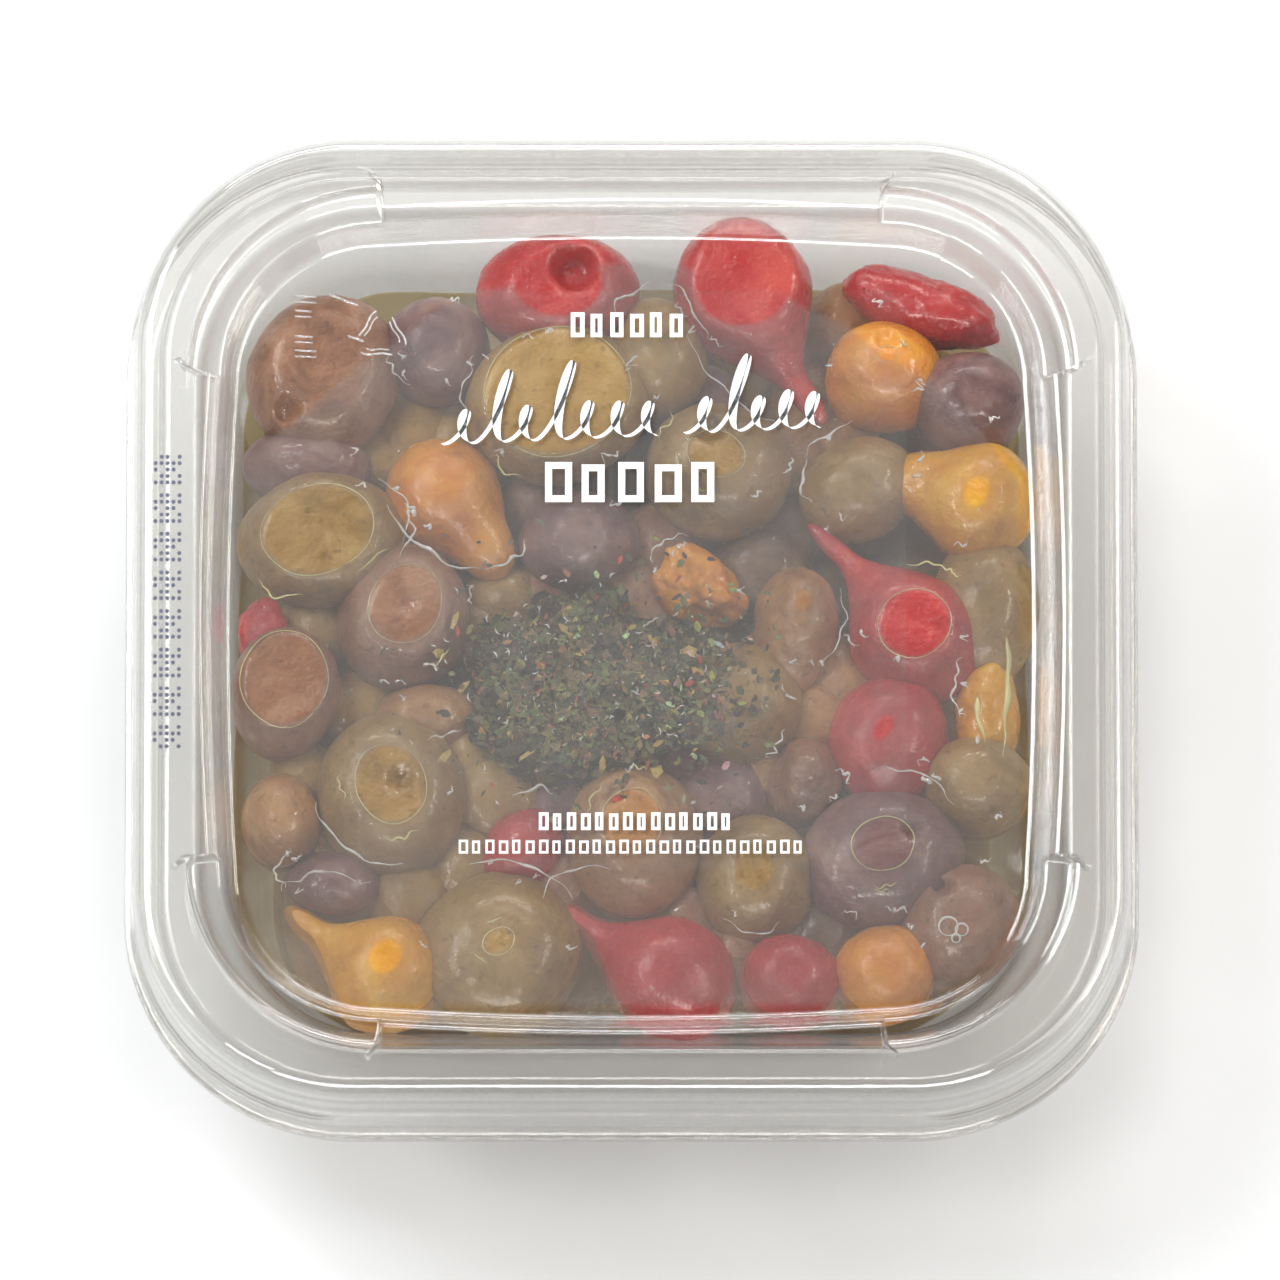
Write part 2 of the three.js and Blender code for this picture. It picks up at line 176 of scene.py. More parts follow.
def clear_plastic(name, veil, tint, frost=0.0, shine=0.9):
    """Thin clear sheet: light passes straight through, with a faint veil and a sharp mirror.

    The point attribute slope marks the steep stretches, which are tinted deeper and frosted.
    """
    s = Shader(name)
    swirl = s.noise(60, 2.0, distortion=0.6)
    grain = s.noise(900, 2.0)
    normal = s.bump(s.math("ADD", swirl, s.math("MULTIPLY", grain, 0.05)), 0.06, 0.0005)
    slope = s.add("ShaderNodeAttribute", attribute_name="slope").outputs["Fac"]
    through = s.clear(s.mix(slope, tint, tuple(c * 0.87 for c in tint)))
    body = s.principled(Base_Color=(0.86, 0.87, 0.87), Roughness=0.35, Normal=normal)
    scuff = s.span(s.noise(140, 4.0, 0.7), 0.35, 0.75, veil * 0.6, veil * 1.5)
    veiled = s.blend(s.math("ADD", scuff, s.math("MULTIPLY", slope, frost)), through, body)
    mirror = s.add("ShaderNodeBsdfAnisotropic")
    mirror.inputs["Color"].default_value = (1.0, 1.0, 1.0, 1.0)
    mirror.inputs["Roughness"].default_value = 0.04
    s.join(normal, mirror.inputs["Normal"])
    facing = s.add("ShaderNodeLayerWeight")
    facing.inputs["Blend"].default_value = 0.5
    s.join(normal, facing.inputs["Normal"])
    grazing = s.math("POWER", facing.outputs["Facing"], 4.0)
    reflected = s.math("MULTIPLY_ADD", grazing, shine, 0.04 * shine)
    return s.finish(s.blend(reflected, veiled, mirror.outputs["BSDF"]))


def haze_and_painted_shade():
    """Oily mist condensed under the panel, wiped away where a piece presses on the lid. Its dark grey is also
    painted shade: it darkens the fruit outside the contact patches, where the fruit curves away from the
    light.
    """
    s = Shader("condensation_and_shade")
    mask = s.add("ShaderNodeAttribute", attribute_name="haze_and_shade").outputs["Fac"]
    cloud = s.span(s.noise(55, 5.0, 0.6), 0.3, 0.7, 0.75, 1.15)
    share = s.math("MULTIPLY", mask, s.math("MULTIPLY", cloud, 0.34))
    # painted shade: this dark grey, laid over the fruit away from the contact patches, stands in for the
    # shading of fruit that curves away from the lid, on top of the real misting
    body = s.principled(Base_Color=(0.2, 0.185, 0.185), Roughness=0.5)
    return s.finish(s.blend(share, s.clear(), body))


def skin(name, dark, mid, light, gloss=0.3, freckle=0.0):
    """Skin of an olive or pepper: three tones in soft blotches, fine pores and a coat of oil."""
    s = Shader(name)
    place = s.place()
    blotch = s.noise(130, 5.0, 0.65, place, 0.6)
    colour = s.ramp(blotch, [(0.34, dark), (0.5, mid), (0.66, light)])
    deep = s.span(s.noise(52, 2.0, 0.5, place), 0.42, 0.62, 0.0, 0.55)
    colour = s.mix(deep, colour, tuple(0.5 * (a + b) for a, b in zip(dark, mid)))
    if freckle:
        spots = s.span(s.noise(850, 2.0, 0.5, place), 0.62, 0.7, 0.0, freckle)
        colour = s.mix(spots, colour, tuple(c * 0.35 for c in dark))
    pores = s.noise(1500, 3.0, 0.6, place)
    folds = s.noise(220, 3.0, 0.5, place)
    normal = s.bump(s.math("ADD", s.math("MULTIPLY", pores, 0.35), folds), 0.8, 0.0008)
    body = s.principled(
        Base_Color=colour,
        Roughness=s.span(s.noise(400, 3.0, 0.6, place), 0.3, 0.7, gloss, gloss + 0.2),
        Subsurface_Weight=0.12,
        Subsurface_Radius=(0.004, 0.002, 0.001),
        Subsurface_Scale=0.5,
        Specular_IOR_Level=0.25,
        Coat_Weight=0.3,
        Coat_Roughness=0.05,
        Normal=normal,
    )
    return s.finish(body)


def plain_oil(name, tint, colour, share, top_share):
    """Oil with a share of body colour, higher where the point attribute top is one."""
    s = Shader(name)
    ripple = s.bump(s.noise(300, 2.0), 0.2, 0.0003)
    cloud = s.span(s.noise(90, 4.0), 0.35, 0.65)
    tone = s.mix(cloud, tuple(c * 0.75 for c in colour), tuple(min(1.0, c * 1.3) for c in colour))
    body = s.principled(Base_Color=tone, Roughness=0.12, Coat_Weight=0.5, Normal=ripple)
    top = s.add("ShaderNodeAttribute", attribute_name="top").outputs["Fac"]
    cover = s.math("MULTIPLY_ADD", top, top_share - share, share)
    return s.finish(s.blend(cover, s.clear(tint), body))


def print_ink(name, colour, cover):
    """Thin ink that covers nearly all of what lies under it, worn a little at random."""
    s = Shader(name)
    wear = s.span(s.noise(2500, 3.0, 0.7), 0.25, 0.5, cover * 0.85, cover)
    body = s.principled(Base_Color=colour, Roughness=0.45)
    return s.finish(s.blend(wear, s.clear(), body))


def herb_flakes():
    """Dried leaf: the flake's own tone from the point attribute tone, a little mottled."""
    s = Shader("herb_flakes")
    tone = s.add("ShaderNodeAttribute", attribute_name="tone").outputs["Color"]
    mottle = s.span(s.noise(1800, 3.0), 0.3, 0.7, 0.7, 1.25)
    shade = s.add("ShaderNodeMix", data_type="RGBA", blend_type="MULTIPLY")
    shade.inputs["Factor"].default_value = 1.0
    s.join(tone, shade.inputs["A"])
    s.join(mottle, shade.inputs["B"])
    body = s.principled(
        Base_Color=shade.outputs["Result"],
        Roughness=s.span(s.noise(900, 2.0), 0.3, 0.7, 0.4, 0.7),
        Specular_IOR_Level=0.2,
        Coat_Weight=0.08,
        Coat_Roughness=0.08,
    )
    return s.finish(body)


PLASTIC = clear_plastic("clear_sheet", veil=0.014, tint=(0.95, 0.945, 0.935), frost=0.035)
FILM = clear_plastic("label_sheet", veil=0.008, tint=(0.995, 0.995, 0.995), shine=0.25)
# painted highlight: the milky veil stands in for the light caught by the edges of the clear moulded marks
MOULDED_HIGHLIGHT = clear_plastic("moulded_marks_highlight", veil=0.3, tint=(0.9, 0.9, 0.9))
# the misted sheet under the panel, whose dark grey is partly painted shade over the fruit
HAZE_AND_SHADE = haze_and_painted_shade()
OIL = plain_oil("olive_oil", (0.95, 0.86, 0.6), (0.17, 0.115, 0.06), 0.1, 0.34)
# partly the oil's own pale colour, partly painted highlight for the light caught on the oil lines
OIL_EDGE_HIGHLIGHT = plain_oil("oil_edge_highlight", (0.95, 0.92, 0.7), (0.85, 0.76, 0.36), 0.7, 0.7)
# painted highlight: near-white curls stand in for the light caught where oil meets the panel
PAINTED_GLINT = plain_oil("painted_oil_glint", (1.0, 1.0, 0.98), (0.96, 0.95, 0.9), 0.72, 0.72)
WHITE_INK = print_ink("white_print", (0.93, 0.93, 0.93), cover=0.97)
GREY_INK = print_ink("code_print", (0.1, 0.11, 0.17), cover=0.85)
HERBS = herb_flakes()
SKINS = {
    "brown": skin("olive_brown", (0.2, 0.085, 0.045), (0.33, 0.15, 0.078), (0.45, 0.25, 0.15), freckle=0.3),
    "purple": skin("olive_purple", (0.13, 0.05, 0.05), (0.23, 0.11, 0.1), (0.36, 0.21, 0.17)),
    "gold": skin("olive_gold", (0.32, 0.18, 0.035), (0.44, 0.26, 0.06), (0.52, 0.34, 0.11), freckle=0.3),
    "green": skin("olive_green", (0.24, 0.14, 0.035), (0.36, 0.21, 0.06), (0.46, 0.3, 0.11), freckle=0.35),
    "rust": skin("olive_rust", (0.3, 0.13, 0.04), (0.46, 0.22, 0.07), (0.56, 0.32, 0.12), freckle=0.4),
    "red": skin("pepper_red", (0.4, 0.012, 0.014), (0.54, 0.03, 0.03), (0.66, 0.08, 0.06), 0.14),
    "orange": skin("pepper_orange", (0.66, 0.2, 0.004), (0.82, 0.31, 0.01), (0.88, 0.42, 0.03), 0.14),
    "yellow": skin("pepper_yellow", (0.62, 0.26, 0.006), (0.78, 0.36, 0.01), (0.86, 0.48, 0.04), 0.14),
    "dark": skin("olive_under", (0.08, 0.04, 0.025), (0.15, 0.08, 0.045), (0.24, 0.15, 0.08)),
}


# ---------------------------------------------------------------- mesh helpers


def new_object(name, vertices, faces, material, smooth=True):
    """A piece from points in mm."""
    mesh = bpy.data.meshes.new(name)
    mesh.from_pydata((np.asarray(vertices, float) * MM).tolist(), [], faces)
    mesh.polygons.foreach_set("use_smooth", [smooth] * len(mesh.polygons))
    mesh.materials.append(material)
    mesh.update()
    made = bpy.data.objects.new(name, mesh)
    bpy.context.scene.collection.objects.link(made)
    return made


def strip_faces(rings, count):
    """Quads between closed rings of count points that follow each other."""
    faces = []
    for ring in range(rings - 1):
        a = ring * count
        for i in range(count):
            j = (i + 1) % count
            faces.append((a + i, a + j, a + count + j, a + count + i))
    return faces


def closed_body(rings):
    """Points and faces through rings, closed at both ends by a middle point; the top point is last."""
    count = len(rings[0])
    points = np.vstack([*rings, rings[0].mean(axis=0), rings[-1].mean(axis=0)])
    faces = strip_faces(len(rings), count)
    bottom, top = len(points) - 2, len(points) - 1
    last = (len(rings) - 1) * count
    faces += [((i + 1) % count, i, bottom) for i in range(count)]
    faces += [(last + i, last + (i + 1) % count, top) for i in range(count)]
    return points, faces


def smoothstep(x):
    """0 below 0, 1 above 1, and a soft rise between."""
    x = np.clip(x, 0.0, 1.0)
    return x * x * (3 - 2 * x)


# ---------------------------------------------------------------- the formed shells

SIDE_STOPS = [-1, -0.994, -0.988, -0.982, -0.97, -0.94, -0.88, -0.78, -0.64, -0.48, -0.32, -0.16]
SIDE_STOPS = SIDE_STOPS + [0] + [-stop for stop in reversed(SIDE_STOPS)]
ARC_STOPS = [0.006, 0.012, 0.018, 0.03, 0.05, 0.08, 0.12, 0.17, 0.23, 0.3, 0.37, 0.44, 0.5]
ARC_STOPS = ARC_STOPS + [1 - stop for stop in reversed(ARC_STOPS[:-1])]
QUARTER = len(SIDE_STOPS) + len(ARC_STOPS)
SIDE = np.array(SIDE_STOPS + [1.0] * len(ARC_STOPS))
ARC = np.array([0.0] * len(SIDE_STOPS) + ARC_STOPS)

# how far each stop is inside a corner, in mm along the ledge, and negative along the sides
LEDGE_RADIUS = 22.6
INTO_CORNER = np.where(
    ARC > 0,
    np.minimum(ARC, 1 - ARC) * math.pi / 2 * LEDGE_RADIUS,
    (np.abs(SIDE) - 1) * RECESS_CENTRE,
)
LEDGE_MASK = smoothstep(INTO_CORNER / 0.8 + 0.5)
BEAD_START = 5  # degrees into the corner arc
BEAD_MASK = smoothstep((np.minimum(ARC, 1 - ARC) * 90 - BEAD_START) / 3) * (ARC > 0)


def shell_ring(centre, half, z, bow=0.0):
    """One ring of points round a shell. half and z are numbers, or arrays over a quarter's stops."""
    half = np.broadcast_to(np.asarray(half, float), QUARTER)
    z = np.broadcast_to(np.asarray(z, float), QUARTER)
    corner = half - centre
    x = np.where(ARC > 0, centre + corner * np.cos(ARC * math.pi / 2), half + bow * (1 - SIDE**2))
    y = np.where(ARC > 0, centre + corner * np.sin(ARC * math.pi / 2), SIDE * centre)
    points = []
    for side in range(4):
        turn = side * math.pi / 2
        points.append(
            np.column_stack(
                [x * math.cos(turn) - y * math.sin(turn), x * math.sin(turn) + y * math.cos(turn), z]
            )
        )
    return np.vstack(points)


def formed_sheet(name, rings):
    """A sheet through rings that run from its outer edge to the last ring, closed by a middle point."""
    count = len(rings[0])
    points = np.vstack([*rings, rings[-1].mean(axis=0)])
    faces = strip_faces(len(rings), count)
    last = (len(rings) - 1) * count
    middle = len(points) - 1
    faces += [(last + i, last + (i + 1) % count, middle) for i in range(count)]
    points[:, 1] = np.minimum(points[:, 1], HINGE_TRIM)
    # the sheet is never quite even: it wanders a few hundredths of a millimetre
    for point in points:
        wander = noise.noise(Vector(point * (0.09, 0.09, 0.2)))
        ripple = noise.noise(Vector(point * (0.3, 0.3, 0.3) + 40.0))
        point[2] += 0.06 * wander + 0.008 * ripple
    under = points - sheet_normals(points, faces) * SHEET
    n = len(points)
    faces += [tuple(n + corner for corner in reversed(face)) for face in faces]
    faces += [((i + 1) % count, i, n + i, n + (i + 1) % count) for i in range(count)]
    under[:, 1] = np.minimum(under[:, 1], HINGE_TRIM)
    made = new_object(name, np.vstack([points, under]), faces, PLASTIC)
    slope = 1 - np.abs(sheet_normals(points, faces[: len(faces) // 2 - count // 2])[:, 2])
    layer = made.data.attributes.new("slope", "FLOAT", "POINT")
    layer.data.foreach_set("value", np.tile(smoothstep(slope), 2))
    return made


def sheet_normals(points, faces):
    """Unit normals of the points, averaged over their faces without regard to size."""
    normals = np.zeros_like(points)
    for face in faces:
        a, b, c = points[list(face[:3])]
        d = points[face[-1]]
        normal = np.cross(c - a, d - b) if len(face) == 4 else np.cross(b - a, c - a)
        length = np.linalg.norm(normal)
        if length > 1e-9:
            normals[list(face)] += normal / length
    return normals / np.maximum(np.linalg.norm(normals, axis=1), 1e-9)[:, None]


def arc_points(start, end, bulge, steps):
    """Stations (half, z) on a rounded corner from start to end, drawn out towards the point bulge."""
    a, b, c = (np.array(p, float) for p in (start, bulge, end))
    stations = []
    for step in range(steps + 1):
        t = step / steps
        stations.append(tuple((1 - t) ** 2 * a + 2 * t * (1 - t) * b + t * t * c))
    return stations


def lid_rings():
    """Rings of the lid from its lip, over the skirt and the ring, down the recess to the panel."""
    rings = []
    panel_half = 46.9
    heel_half, heel_rise = 48.15, 1.35

    def recess(side, corner, bow=1.0):
        half = side[0] + (corner[0] - side[0]) * LEDGE_MASK
        z = side[1] + (corner[1] - side[1]) * LEDGE_MASK
        rings.append(shell_ring(RECESS_CENTRE, half, z, bow))

    for share in (0.2, 0.4, 0.6, 0.75, 0.88, 0.95):
        rings.append(shell_ring(RECESS_CENTRE * share, panel_half * share, PANEL_TOP, share**2))
    heel = arc_points((panel_half, PANEL_TOP), (heel_half, PANEL_TOP + heel_rise), (47.9, PANEL_TOP), 6)
    for station in heel:
        recess(station, station)
    for k in range(1, 4):
        rise = k / 3
        z = PANEL_TOP + heel_rise + rise * (LEDGE_TOP - PANEL_TOP - 2.35)
        station = (heel_half + 0.75 * rise, z)
        recess(station, station)
    start = (48.9, LEDGE_TOP - 1.0)
    side_wall = arc_points(start, (49.9, RING_TOP - 1.2), (49.3, LEDGE_TOP + 0.2), 15)
    ledge = arc_points(start, (50.1, LEDGE_TOP), (49.2, LEDGE_TOP), 5)
    ledge += [(50.9, LEDGE_TOP), (51.7, LEDGE_TOP)]
    ledge += arc_points((52.2, LEDGE_TOP), (52.85, LEDGE_TOP + 0.7), (52.8, LEDGE_TOP), 4)
    ledge += arc_points((52.95, RING_TOP - 0.9), (53.75, RING_TOP), (53.05, RING_TOP), 4)[:3]
    brow = arc_points((49.9, RING_TOP - 1.2), (51.4, RING_TOP), (50.35, RING_TOP), 6)
    side_all = side_wall[1:] + brow[1:]
    corner_all = ledge[1:]
    still = len(side_all) - len(corner_all)
    corner_all += arc_points(ledge[-1], (54.2, RING_TOP), (53.6, RING_TOP), still)[1:]
    for side, corner in zip(side_all, corner_all):
        recess(side, corner)
    for half in (54.6, 55.4):
        rings.append(shell_ring(RECESS_CENTRE + 1.2, half, RING_TOP, 0.6))
    for half in (56.2, 57.0):
        rings.append(shell_ring(LIP_CENTRE, half, RING_TOP))
    for half, z in arc_points((57.4, RING_TOP), (59.5, RING_TOP - 2.0), (59.25, RING_TOP), 10):
        rings.append(shell_ring(LIP_CENTRE, half, z))
    foot = LIP_BOTTOM + SHEET
    skirt_top = RING_TOP - 2.3
    groove_z, step_z, bead_z, low_z = 38.4, 35.6, 32.1, 28.4
    steps = 34
    for step in range(steps + 1):
        share = step / steps
        z = skirt_top + (foot + 0.9 - skirt_top) * share
        half = 59.52 + 0.55 * share
        groove = math.exp(-(((z - groove_z) / 0.45) ** 2)) * 0.22
        step_out = 0.18 * float(smoothstep((step_z - z) / 0.7))
        bead = math.exp(-(((z - bead_z) / 0.75) ** 2)) * 0.62
        low = math.exp(-(((z - low_z) / 0.4) ** 2)) * 0.2
        rings.append(shell_ring(LIP_CENTRE, half - groove + step_out - low + bead * BEAD_MASK, z))
    for half, z in arc_points((60.15, foot + 0.7), (60.75, foot), (60.2, foot), 4):
        rings.append(shell_ring(LIP_CENTRE, half, z))
    for half, z in arc_points((60.85, foot), (LIP_HALF, LIP_BOTTOM + 0.02), (LIP_HALF, foot), 3):
        rings.append(shell_ring(LIP_CENTRE, half, z))
    return rings[::-1]


def tub_rings():
    """The tub's inner face from its flange, over the rim, down the wall and across the base."""
    rings = []

    def add(centre, stations):
        for half, z in stations:
            rings.append(shell_ring(centre, half, z))

    top = FLANGE_TOP
    add(LIP_CENTRE, arc_points((LIP_HALF, top - 0.5), (60.8, top), (LIP_HALF, top), 3))
    add(LIP_CENTRE, [(60, top), (59, top)])
    add(LIP_CENTRE, arc_points((58.4, top), (57.5, top + 0.9), (57.6, top), 4))
    add(LIP_CENTRE, [(57.3, 28), (57.15, 31), (57.05, 33.4)])
    crest = RIM_TOP - 0.05
    add(LIP_CENTRE, arc_points((56.9, 34.9), (55.4, crest), (56.6, crest), 7))
    add(RECESS_CENTRE + 0.8, [(54.4, crest)])
    add(RECESS_CENTRE + 0.4, arc_points((53.2, crest), (51.7, 34.9), (52.0, crest), 6))
    add(RECESS_CENTRE, [(51.4, 33.4), (50.9, 32.3), (50.3, 31), (49.5, 30)])
    add(RECESS_CENTRE, [(48.7, 28), (47.9, 26), (47.3, 22), (46.6, 17), (46, 13)])
    add(29.2, [(45.4, 9), (44.8, 6)])
    add(27.6, arc_points((44.3, 4), (41.8, 0.65), (43.8, 0.75), 7))
    add(24, arc_points((39.9, 0.62), (38, 1.62), (39, 1.0), 5))
    for share in (0.9, 0.7, 0.5, 0.3, 0.12):
        rings.append(shell_ring(22 * share, 36.5 * share, 1.62 + 0.1 * (1 - share)))
    return rings


lid = formed_sheet("lid_shell", lid_rings())
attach(lid, "lid")
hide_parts("lid")

tub = formed_sheet("tub_shell", tub_rings())
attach(tub, "tub")
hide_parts("tub")


# ---------------------------------------------------------------- tear strip


def tear_strip():
    """A bead along the hinge, drawn in by a nick at every perforation and rounded at its ends."""
    low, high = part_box("tear_strip")
    low, high = low / MM, high / MM
    middle = (low + high) / 2
    half_width = (high.y - low.y) / 2
    half_height = (high.z - low.z) / 2
    pitch = 2.5
    per_pitch = 8
    stations = int((high.x - low.x) / pitch * per_pitch)
    sides = 12
    rings = []
    for i in range(stations + 1):
        along = low.x + (high.x - low.x) * i / stations
        phase = (i % per_pitch) / per_pitch
        nick = 0.3 * math.exp(-(((phase - 0.5) / 0.14) ** 2))
        end = min(i, stations - i) / 3
        close = math.sqrt(max(0.02, 1 - max(0.0, 1 - end) ** 2))
        for k in range(sides):
            angle = 2 * math.pi * k / sides
            squareness = 1 / max(abs(math.cos(angle)), abs(math.sin(angle))) ** 0.5
            y = math.cos(angle) * squareness * (half_width * 0.84 - nick) * close
            z = math.sin(angle) * squareness * half_height * 0.84 * close
            rings.append((along, middle.y + y, middle.z + z))
    faces = [tuple(reversed(f)) for f in strip_faces(stations + 1, sides)]
    faces.append(tuple(range(sides)))
    faces.append(tuple(reversed(range(stations * sides, (stations + 1) * sides))))
    return new_object("tear_strip_bead", rings, faces, PLASTIC)


strip = tear_strip()
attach(strip, "tear_strip")
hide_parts("tear_strip")


# ---------------------------------------------------------------- label film and print


def rounded_plate(name, width, length, corner, middle, bottom, top, material):
    """A thin rectangle with rounded corners."""
    points = []
    steps = 6
    for quarter in range(4):
        sx = (1, -1, -1, 1)[quarter]
        sy = (1, 1, -1, -1)[quarter]
        for step in range(steps + 1):
            angle = (quarter + step / steps) * math.pi / 2
            points.append(
                (
                    middle[0] + sx * (width / 2 - corner) + corner * math.cos(angle),
                    middle[1] + sy * (length / 2 - corner) + corner * math.sin(angle),
                )
            )
    return extruded(name, [points], bottom, top, material)


def extruded(name, outlines, bottom, top, material):
    """Thin solids standing on flat outlines, joined as one piece."""
    vertices = []
    faces = []
    for points in outlines:
        n = len(points)
        first = len(vertices)
        vertices += [(x, y, bottom) for x, y in points]
        vertices += [(x, y, top) for x, y in points]
        faces.append(tuple(first + i for i in reversed(range(n))))
        faces.append(tuple(first + n + i for i in range(n)))
        for i in range(n):
            j = (i + 1) % n
            faces.append((first + i, first + j, first + n + j, first + n + i))
    return new_object(name, vertices, faces, material, smooth=False)


LABEL_LOW, LABEL_HIGH = (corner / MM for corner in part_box("label"))
LABEL_MIDDLE = ((LABEL_LOW.x + LABEL_HIGH.x) / 2, (LABEL_LOW.y + LABEL_HIGH.y) / 2)
LABEL_BASE = PANEL_TOP + 0.12
LABEL_FACE = LABEL_BASE + 0.08


def block_row(left, right, y, height, pieces, stroke, gap=0.3):
    """A row of small upright frames where a line of print would be."""
    pitch = (right - left) / pieces
    outlines = []
    for i in range(pieces):
        near = left + (i + gap / 2) * pitch
        far = near + pitch * (1 - gap) * (1, 0.85, 0.95)[i % 3]
        top = y + height * (1, 0.94)[i % 2]
        inner_left, inner_right = near + stroke, far - stroke
        bars = [(near, inner_left, y, top), (inner_right, far, y, top)]
        bars += [(inner_left, inner_right, y, y + stroke), (inner_left, inner_right, top - stroke, top)]
        outlines += [[(a, c), (b, c), (b, d), (a, d)] for a, b, c, d in bars]
    return outlines


def brush_stroke(left, right, y, heights, rise):
    """A slanted line of brush loops, thick on the way down and thin on the way up."""
    waves = len(heights)
    steps = 36
    middle = []
    for i in range(waves * steps + 1):
        wave = min(i // steps, waves - 1)
        phase = 2 * math.pi * i / steps
        tall = heights[wave]
        up = tall * (1 - math.cos(phase)) / 2
        across = left + (right - left) * i / (waves * steps) + 1.05 * math.sin(phase) + 0.3 * up
        press = max(0.0, -math.sin(phase))
        middle.append((across, y + up + rise * i / (waves * steps), press))
    pen = math.radians(30)
    edges = []
    for across, up, press in middle:
        thick = 0.25 + 0.38 * press
        edges.append(
            (
                (across - thick * math.cos(pen), up + thick * math.sin(pen)),
                (across + thick * math.cos(pen), up - thick * math.sin(pen)),
            )
        )
    return [[a[0], a[1], b[1], b[0]] for a, b in zip(edges, edges[1:])]


film = rounded_plate(
    "label_film",
    LABEL_HIGH.x - LABEL_LOW.x,
    LABEL_HIGH.y - LABEL_LOW.y,
    3,
    LABEL_MIDDLE,
    LABEL_BASE,
    LABEL_FACE,
    FILM,
)
film.visible_shadow = False
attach(film, "lid")
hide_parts("label")

print_rows = block_row(-7.7, 6.6, 36.2, 3.1, 6, 0.55)
print_rows += brush_stroke(-22.8, 3, 22.8, (4.2, 9, 4.4, 9.8, 4.6, 4.4, 4.2), 1.2)
print_rows += brush_stroke(6.4, 22.6, 24.2, (4.4, 9.6, 4.2, 4.8, 4.4), 0.8)
print_rows += block_row(-11, 11, 15.6, 5, 5, 0.85, 0.26)
print_rows += block_row(-11.4, 12.2, -25.2, 2.2, 14, 0.4)
print_rows += block_row(-21, 20.8, -28.1, 1.7, 26, 0.28)
printed = extruded("label_print", print_rows, LABEL_FACE + 0.01, LABEL_FACE + 0.03, WHITE_INK)
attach(printed, "lid")


# ---------------------------------------------------------------- the filling

TOUCH = PANEL_UNDER - 0.06  # pieces flatten against the lid here


def soft_limit(z, limit, softness=0.22):
    """z held below a limit, rounding off smoothly as it comes near."""
    return limit - softness * np.log1p(np.exp(np.clip((limit - z) / softness, -40, 40)))


def teardrop(t):
    """Radius of a tailed pepper at a share t of its length: a round head, then a drawn-out tip."""
    widest, tail, tail_radius = 0.34, 0.8, 0.17
    if t < widest:
        return math.sqrt(max(0.0, 1 - ((widest - t) / widest) ** 2))
    if t < tail:
        fall = 0.5 + 0.5 * math.cos(math.pi * (t - widest) / (tail - widest))
        return tail_radius + (1 - tail_radius) * fall
    return tail_radius * math.sqrt(max(0.0, 1 - ((t - tail) / (1 - tail)) ** 2))


def rounded(length, width, height, taper=0.0, bend=0.0, lumps=0.35, seed=0.0, turns=56, rows=40):
    """Points and faces of an olive or pepper about its middle, lying along x."""
    angles = np.linspace(0, 2 * math.pi, turns, endpoint=False)
    stops = np.cos(np.linspace(math.pi, 0, rows + 2)[1:-1])
    points = []
    for s in stops:
        round_part = math.sqrt(max(0.0, 1 - s * s))
        round_part += (teardrop((s + 1) / 2) - round_part) * taper
        for angle in angles:
            points.append((s, round_part * math.cos(angle), round_part * math.sin(angle)))
    points.append((-1, 0, 0))
    points.append((1, 0, 0))
    points = np.array(points)
    shaped = points * (length / 2, width / 2, height / 2)
    if bend:
        shaped[:, 1] += bend * np.maximum(0, points[:, 0]) ** 2
    offset = Vector((seed * 7.3, seed * 3.1, seed * 5.7))
    size = min(length, width)
    for i, point in enumerate(shaped):
        place = Vector(point)
        swell = noise.noise(place * 0.11 + offset) * lumps * 1.6
        dent = noise.noise(place * 0.33 + offset) * lumps * 0.45
        fine = noise.noise(place * 0.9 + offset) * lumps * 0.22
        shaped[i] = point * (1 + (swell + dent + fine) / (size / 2))
    faces = []
    for row in range(rows - 1):
        for i in range(turns):
            j = (i + 1) % turns
            a = row * turns
            faces.append((a + i, a + turns + i, a + turns + j, a + j))
    first, last = rows * turns, rows * turns + 1
    faces += [(first, i, (i + 1) % turns) for i in range(turns)]
    end = (rows - 1) * turns
    faces += [(last, end + (i + 1) % turns, end + i) for i in range(turns)]
    return shaped, faces


HERB_LOW, HERB_HIGH = (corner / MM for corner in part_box("herb_clump"))
HERB_MIDDLE = (HERB_LOW + HERB_HIGH) / 2
PATCHES = []  # middle x, y, half-length, half-width, angle of each place where a piece meets the lid
RINGED = []  # the patches with a thin ring of oil round them, drawn pale and bright as painted highlight


def find_patch(points, limit, ringed):
    """Notes the ellipse where a piece lies against the lid, if it does."""
    touching = points[points[:, 2] > limit - 0.07][:, :2]
    if len(touching) < 10:
        return
    middle = (touching.max(axis=0) + touching.min(axis=0)) / 2
    spread = np.cov((touching - middle).T)
    _, vectors = np.linalg.eigh(spread)
    angle = math.atan2(vectors[1, 1], vectors[0, 1])
    along = (touching - middle) @ vectors
    reach = np.abs(along).max(axis=0)
    PATCHES.append((middle[0], middle[1], reach[1], reach[0], angle))
    if ringed:
        RINGED.append(PATCHES[-1])


PLUMP = 1.1  # the pieces press together more than the spaced CAD solids
BODIES = []  # middle x, y, half-length, half-width and angle of each piece seen from above


